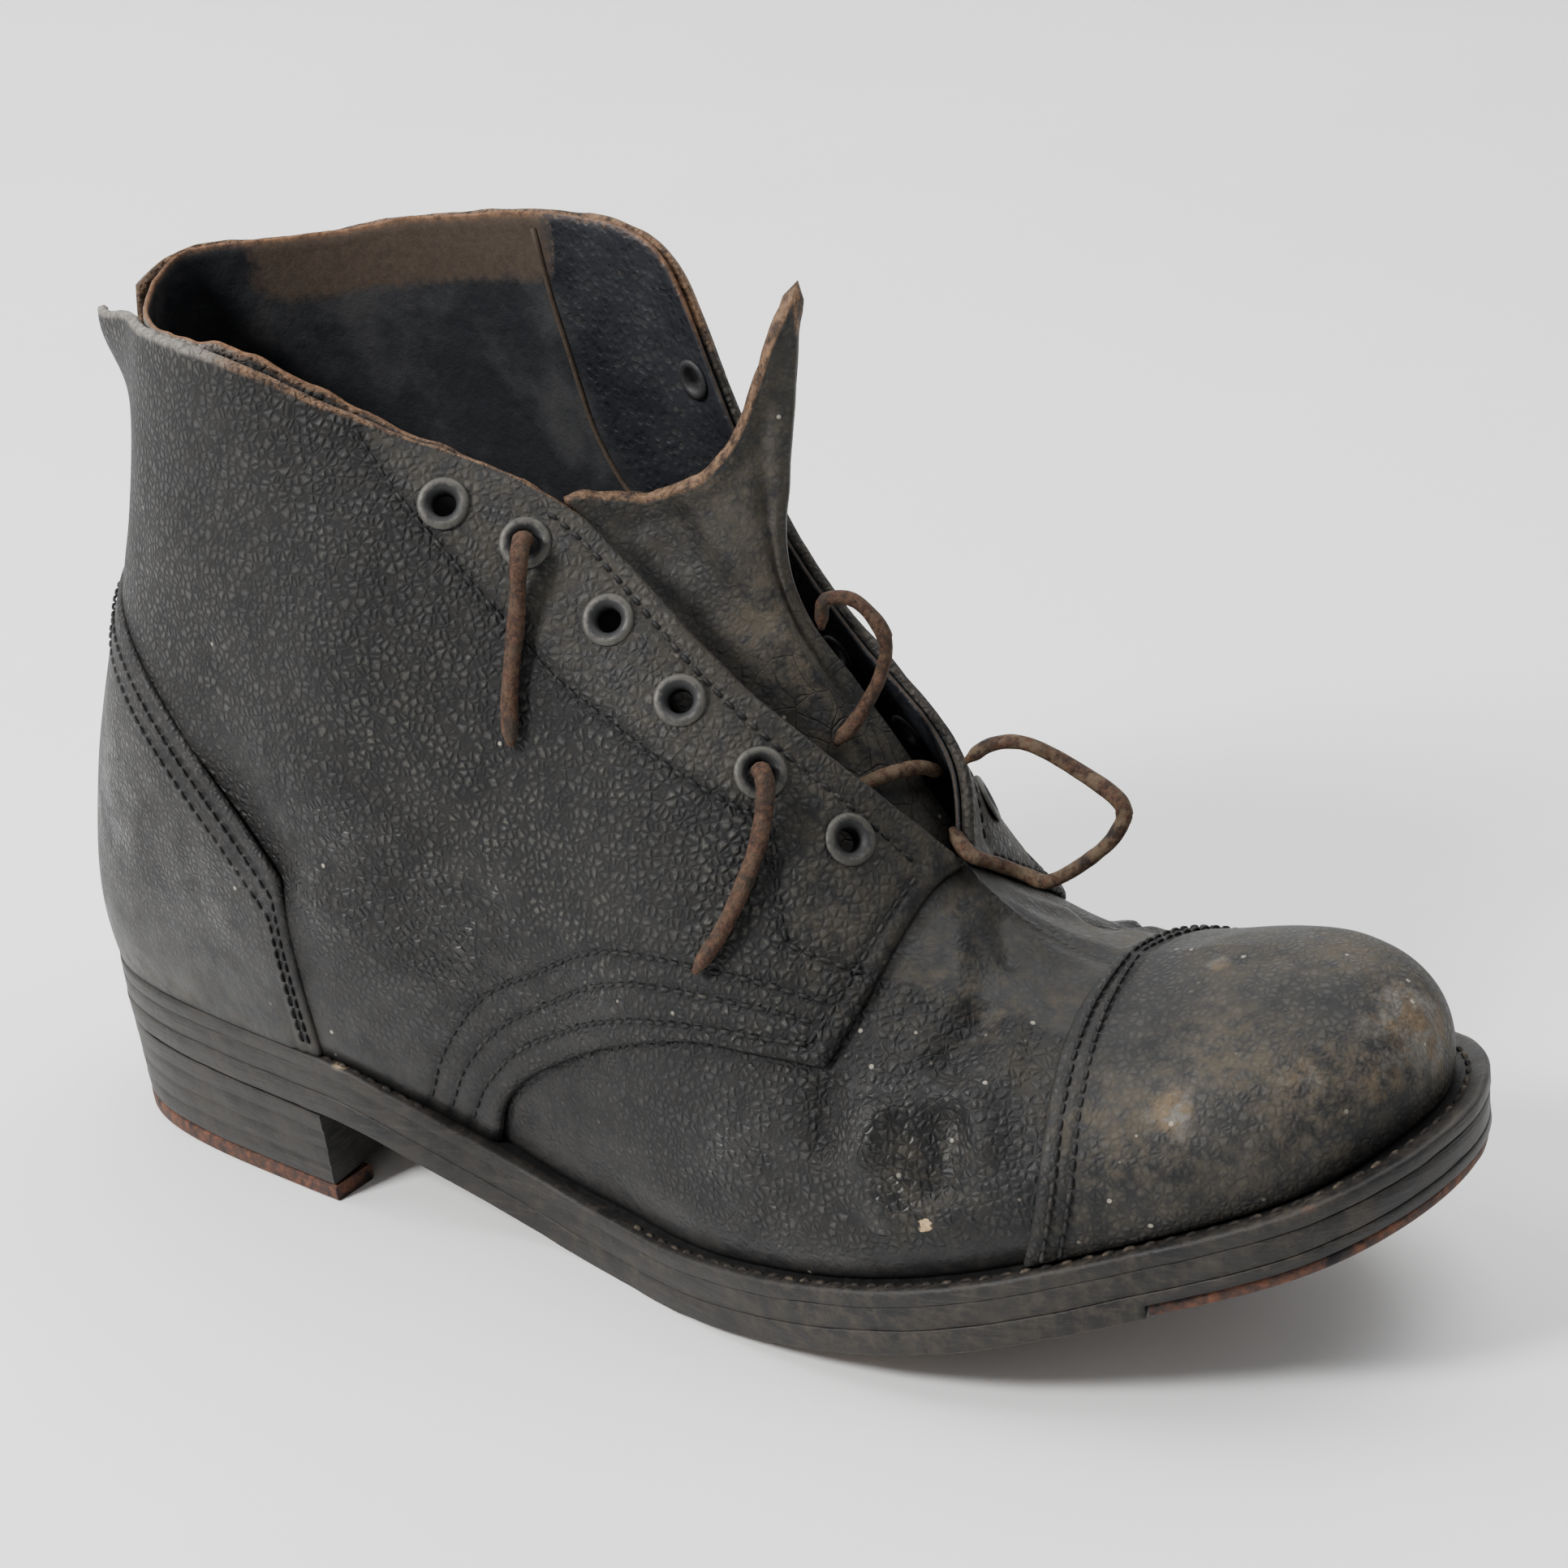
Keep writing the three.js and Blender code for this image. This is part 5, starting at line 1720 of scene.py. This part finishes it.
def welt():
    """The welt stands out round the upper, with its top edge worn and grooved for the stitches."""
    columns = 420
    w = np.arange(columns) / columns * RIB_COUNT
    reach = feather(w) + WELT_WIDTH
    top, base = WELT_AT + WELT, WELT_AT
    profile = [
        (1.0, top), (0.62, top), (0.45, top - 0.35), (0.3, top - 0.05), (0.12, top), (0.03, top - 0.2),
        (0.0, top - 0.8),
    ]
    profile += [(0.0, base + 0.3), (0.02, base), (1.0, base)]
    grid = []
    for share, level in profile:
        ring = sole_edge(w, reach * share)
        z = underside(ring[:, 0]) + level
        p = with_height(ring, z)
        fade = 1 if share < 0.7 else 0
        p[:, :2] += outward(w) * (0.25 * rough_noise(p, 8, 16) * fade)[:, None]
        p[:, 2] += 0.12 * rough_noise(p, 5, 17) * fade * (level > base + 0.5)
        grid.append(p)
    points = np.stack(grid)
    names = numbered(points)
    faces = [f[::-1] for f in grid_faces(np.concatenate([names, names[:1]]), True)]
    flat = points.reshape(-1, 3)
    facts = sole_facts(flat)
    shares = np.repeat([s for s, _ in profile], columns)
    levels = np.repeat([z for _, z in profile], columns)
    facts["shade"] = 0.9 * ((shares > 0.4) & (levels > base + 1)).astype(float)
    facts["dust"] = facts["dust"] * 0.9
    obj = make_object("welt_piece", flat, faces, SOLE, facts=facts)
    return settle(obj, "sole_leather", "welt")


welt()


def welt_stitches():
    """Heavy stitches lie in the groove along the welt's top."""
    w = np.linspace(0, RIB_COUNT, 1200)
    inset = 0.4 * feather(w) + 0.4
    ring = sole_edge(w, inset)
    line = with_height(ring, underside(ring[:, 0]) + WELT_AT + WELT - 0.12)
    gone = travelled(line)
    count = int(gone[-1] / 3.6)
    points, faces = [], []
    for k in range(count):
        middle = (k + 0.5) * gone[-1] / count
        reach = middle + 2.6 * np.array([-0.5, -0.3, 0, 0.3, 0.5])
        p = np.stack([np.interp(reach, gone, line[:, c]) for c in range(3)], -1)
        p[:, 2] += np.array([-0.35, 0.05, 0.2, 0.05, -0.35])
        if noise(p[2], 30, 18) > 0.45:
            continue
        t = unit(np.gradient(p, axis=0))
        s = unit(np.cross(t, [0, 0, 1]))
        radii = 0.5 * np.array([0.6, 0.95, 1, 0.95, 0.6])
        add_thread(points, faces, p, s, np.broadcast_to([0, 0, 1.0], p.shape), radii)
    return settle(make_object("welt_stitches", np.array(points), faces, WELT_THREAD), "sole_leather")


welt_stitches()


def heel_breast_ribs():
    found = []
    for direction in (1, -1):
        low, high = 0.0, 6.0
        for _ in range(40):
            w = (low + high) / 2
            if sole_edge(np.array(direction * w), HEEL_BASE_INSET)[0] < HEEL_BREAST:
                low = w
            else:
                high = w
        found.append(direction * low)
    return found


BREAST_OUTER, BREAST_INNER = heel_breast_ribs()


def heel_stack():
    """Lifts of leather pressed together, each edge a little uneven, with the breast cut straight."""
    columns = 150
    w = np.linspace(BREAST_INNER, BREAST_OUTER, columns)
    lifts = 4
    profile = []
    for k in range(lifts):
        low, high = k / lifts, (k + 1) / lifts
        profile += [(low + 0.012, 0.16), (low + 0.035, 0.0), (high - 0.035, 0.0), (high - 0.012, 0.16)]
    floor_level = HEEL_IRON + GAP
    grid = []
    for share, dip in profile:
        inset = mix(HEEL_BASE_INSET, HEEL_TOP_INSET, share) + dip
        ring = sole_edge(w, np.full(columns, inset))
        top = underside(ring[:, 0]) - GAP
        z = mix(floor_level, top, share)
        p = with_height(ring, z)
        p[:, :2] += outward(w) * (0.2 * rough_noise(p, 8, 40 + int(share * lifts)))[:, None]
        grid.append(p)
    points = np.stack(grid)
    names = numbered(points)
    faces = grid_faces(names)
    for row, flip in ((0, True), (points.shape[0] - 1, False)):
        ring = [int(k) for k in names[row]]
        faces.append(ring[::-1] if flip else ring)
    breast = [int(k) for k in names[:, 0]][::-1] + [int(k) for k in names[:, -1]]
    faces.append(breast)
    obj = make_object(
        "heel_stack_piece", points.reshape(-1, 3), faces, SOLE, facts=sole_facts(points.reshape(-1, 3)),
    )
    tool_mesh_outward(obj)
    sharpen(obj)
    return settle(obj, "sole_leather", "heel_stack")


def sharpen(obj, angle=40):
    bpy.context.view_layer.objects.active = obj
    bpy.ops.object.select_all(action="DESELECT")
    obj.select_set(True)
    bpy.ops.object.shade_smooth_by_angle(angle=math.radians(angle))


heel_stack()


def iron_strip(name, start, end, inset, width, level_of, thick, node):
    """A rusty plate that follows the edge, with worn rounded corners."""
    columns = 130
    w = np.linspace(start, end, columns)
    r = 0.55
    profile = [
        (0.0, r), (0.0, thick - r), (r * 0.5, thick - r * 0.2), (r, thick), (width - r, thick),
        (width, thick - r),
    ]
    profile += [(width, r), (width - r, 0), (r, 0), (r * 0.5, r * 0.2)]
    grid = []
    for extra, level in profile:
        ring = sole_edge(w, np.full(columns, inset + extra))
        p = with_height(ring, level_of(ring[:, 0]) + level)
        if level > 0.3:
            p[:, :2] += outward(w) * (0.2 * rough_noise(p, 5, 19))[:, None]
        grid.append(p)
    points = np.stack(grid)
    names = numbered(points)
    faces = grid_faces(np.concatenate([names, names[:1]]))
    faces.append([int(k) for k in names[:, 0]])
    faces.append([int(k) for k in names[:, -1]][::-1])
    obj = make_object(name, points.reshape(-1, 3), faces, RUST)
    tool_mesh_outward(obj)
    sharpen(obj, 50)
    return settle(obj, "iron", node)


iron_strip(
    "heel_iron_plate", BREAST_INNER, BREAST_OUTER, HEEL_BASE_INSET, IRON_WIDTH, lambda x: 0 * x, HEEL_IRON,
    "heel_iron",
)
iron_strip("toe_iron_plate", 9.02, 13.08, TOE_IRON_INSET, TOE_IRON_WIDTH, underside, TOE_IRON, "toe_iron")


# The insole is the CAD solid with its own skin.
insole_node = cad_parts["insole"]
insole_node.data.materials.clear()
insole_node.data.materials.append(INSOLE_SKIN)
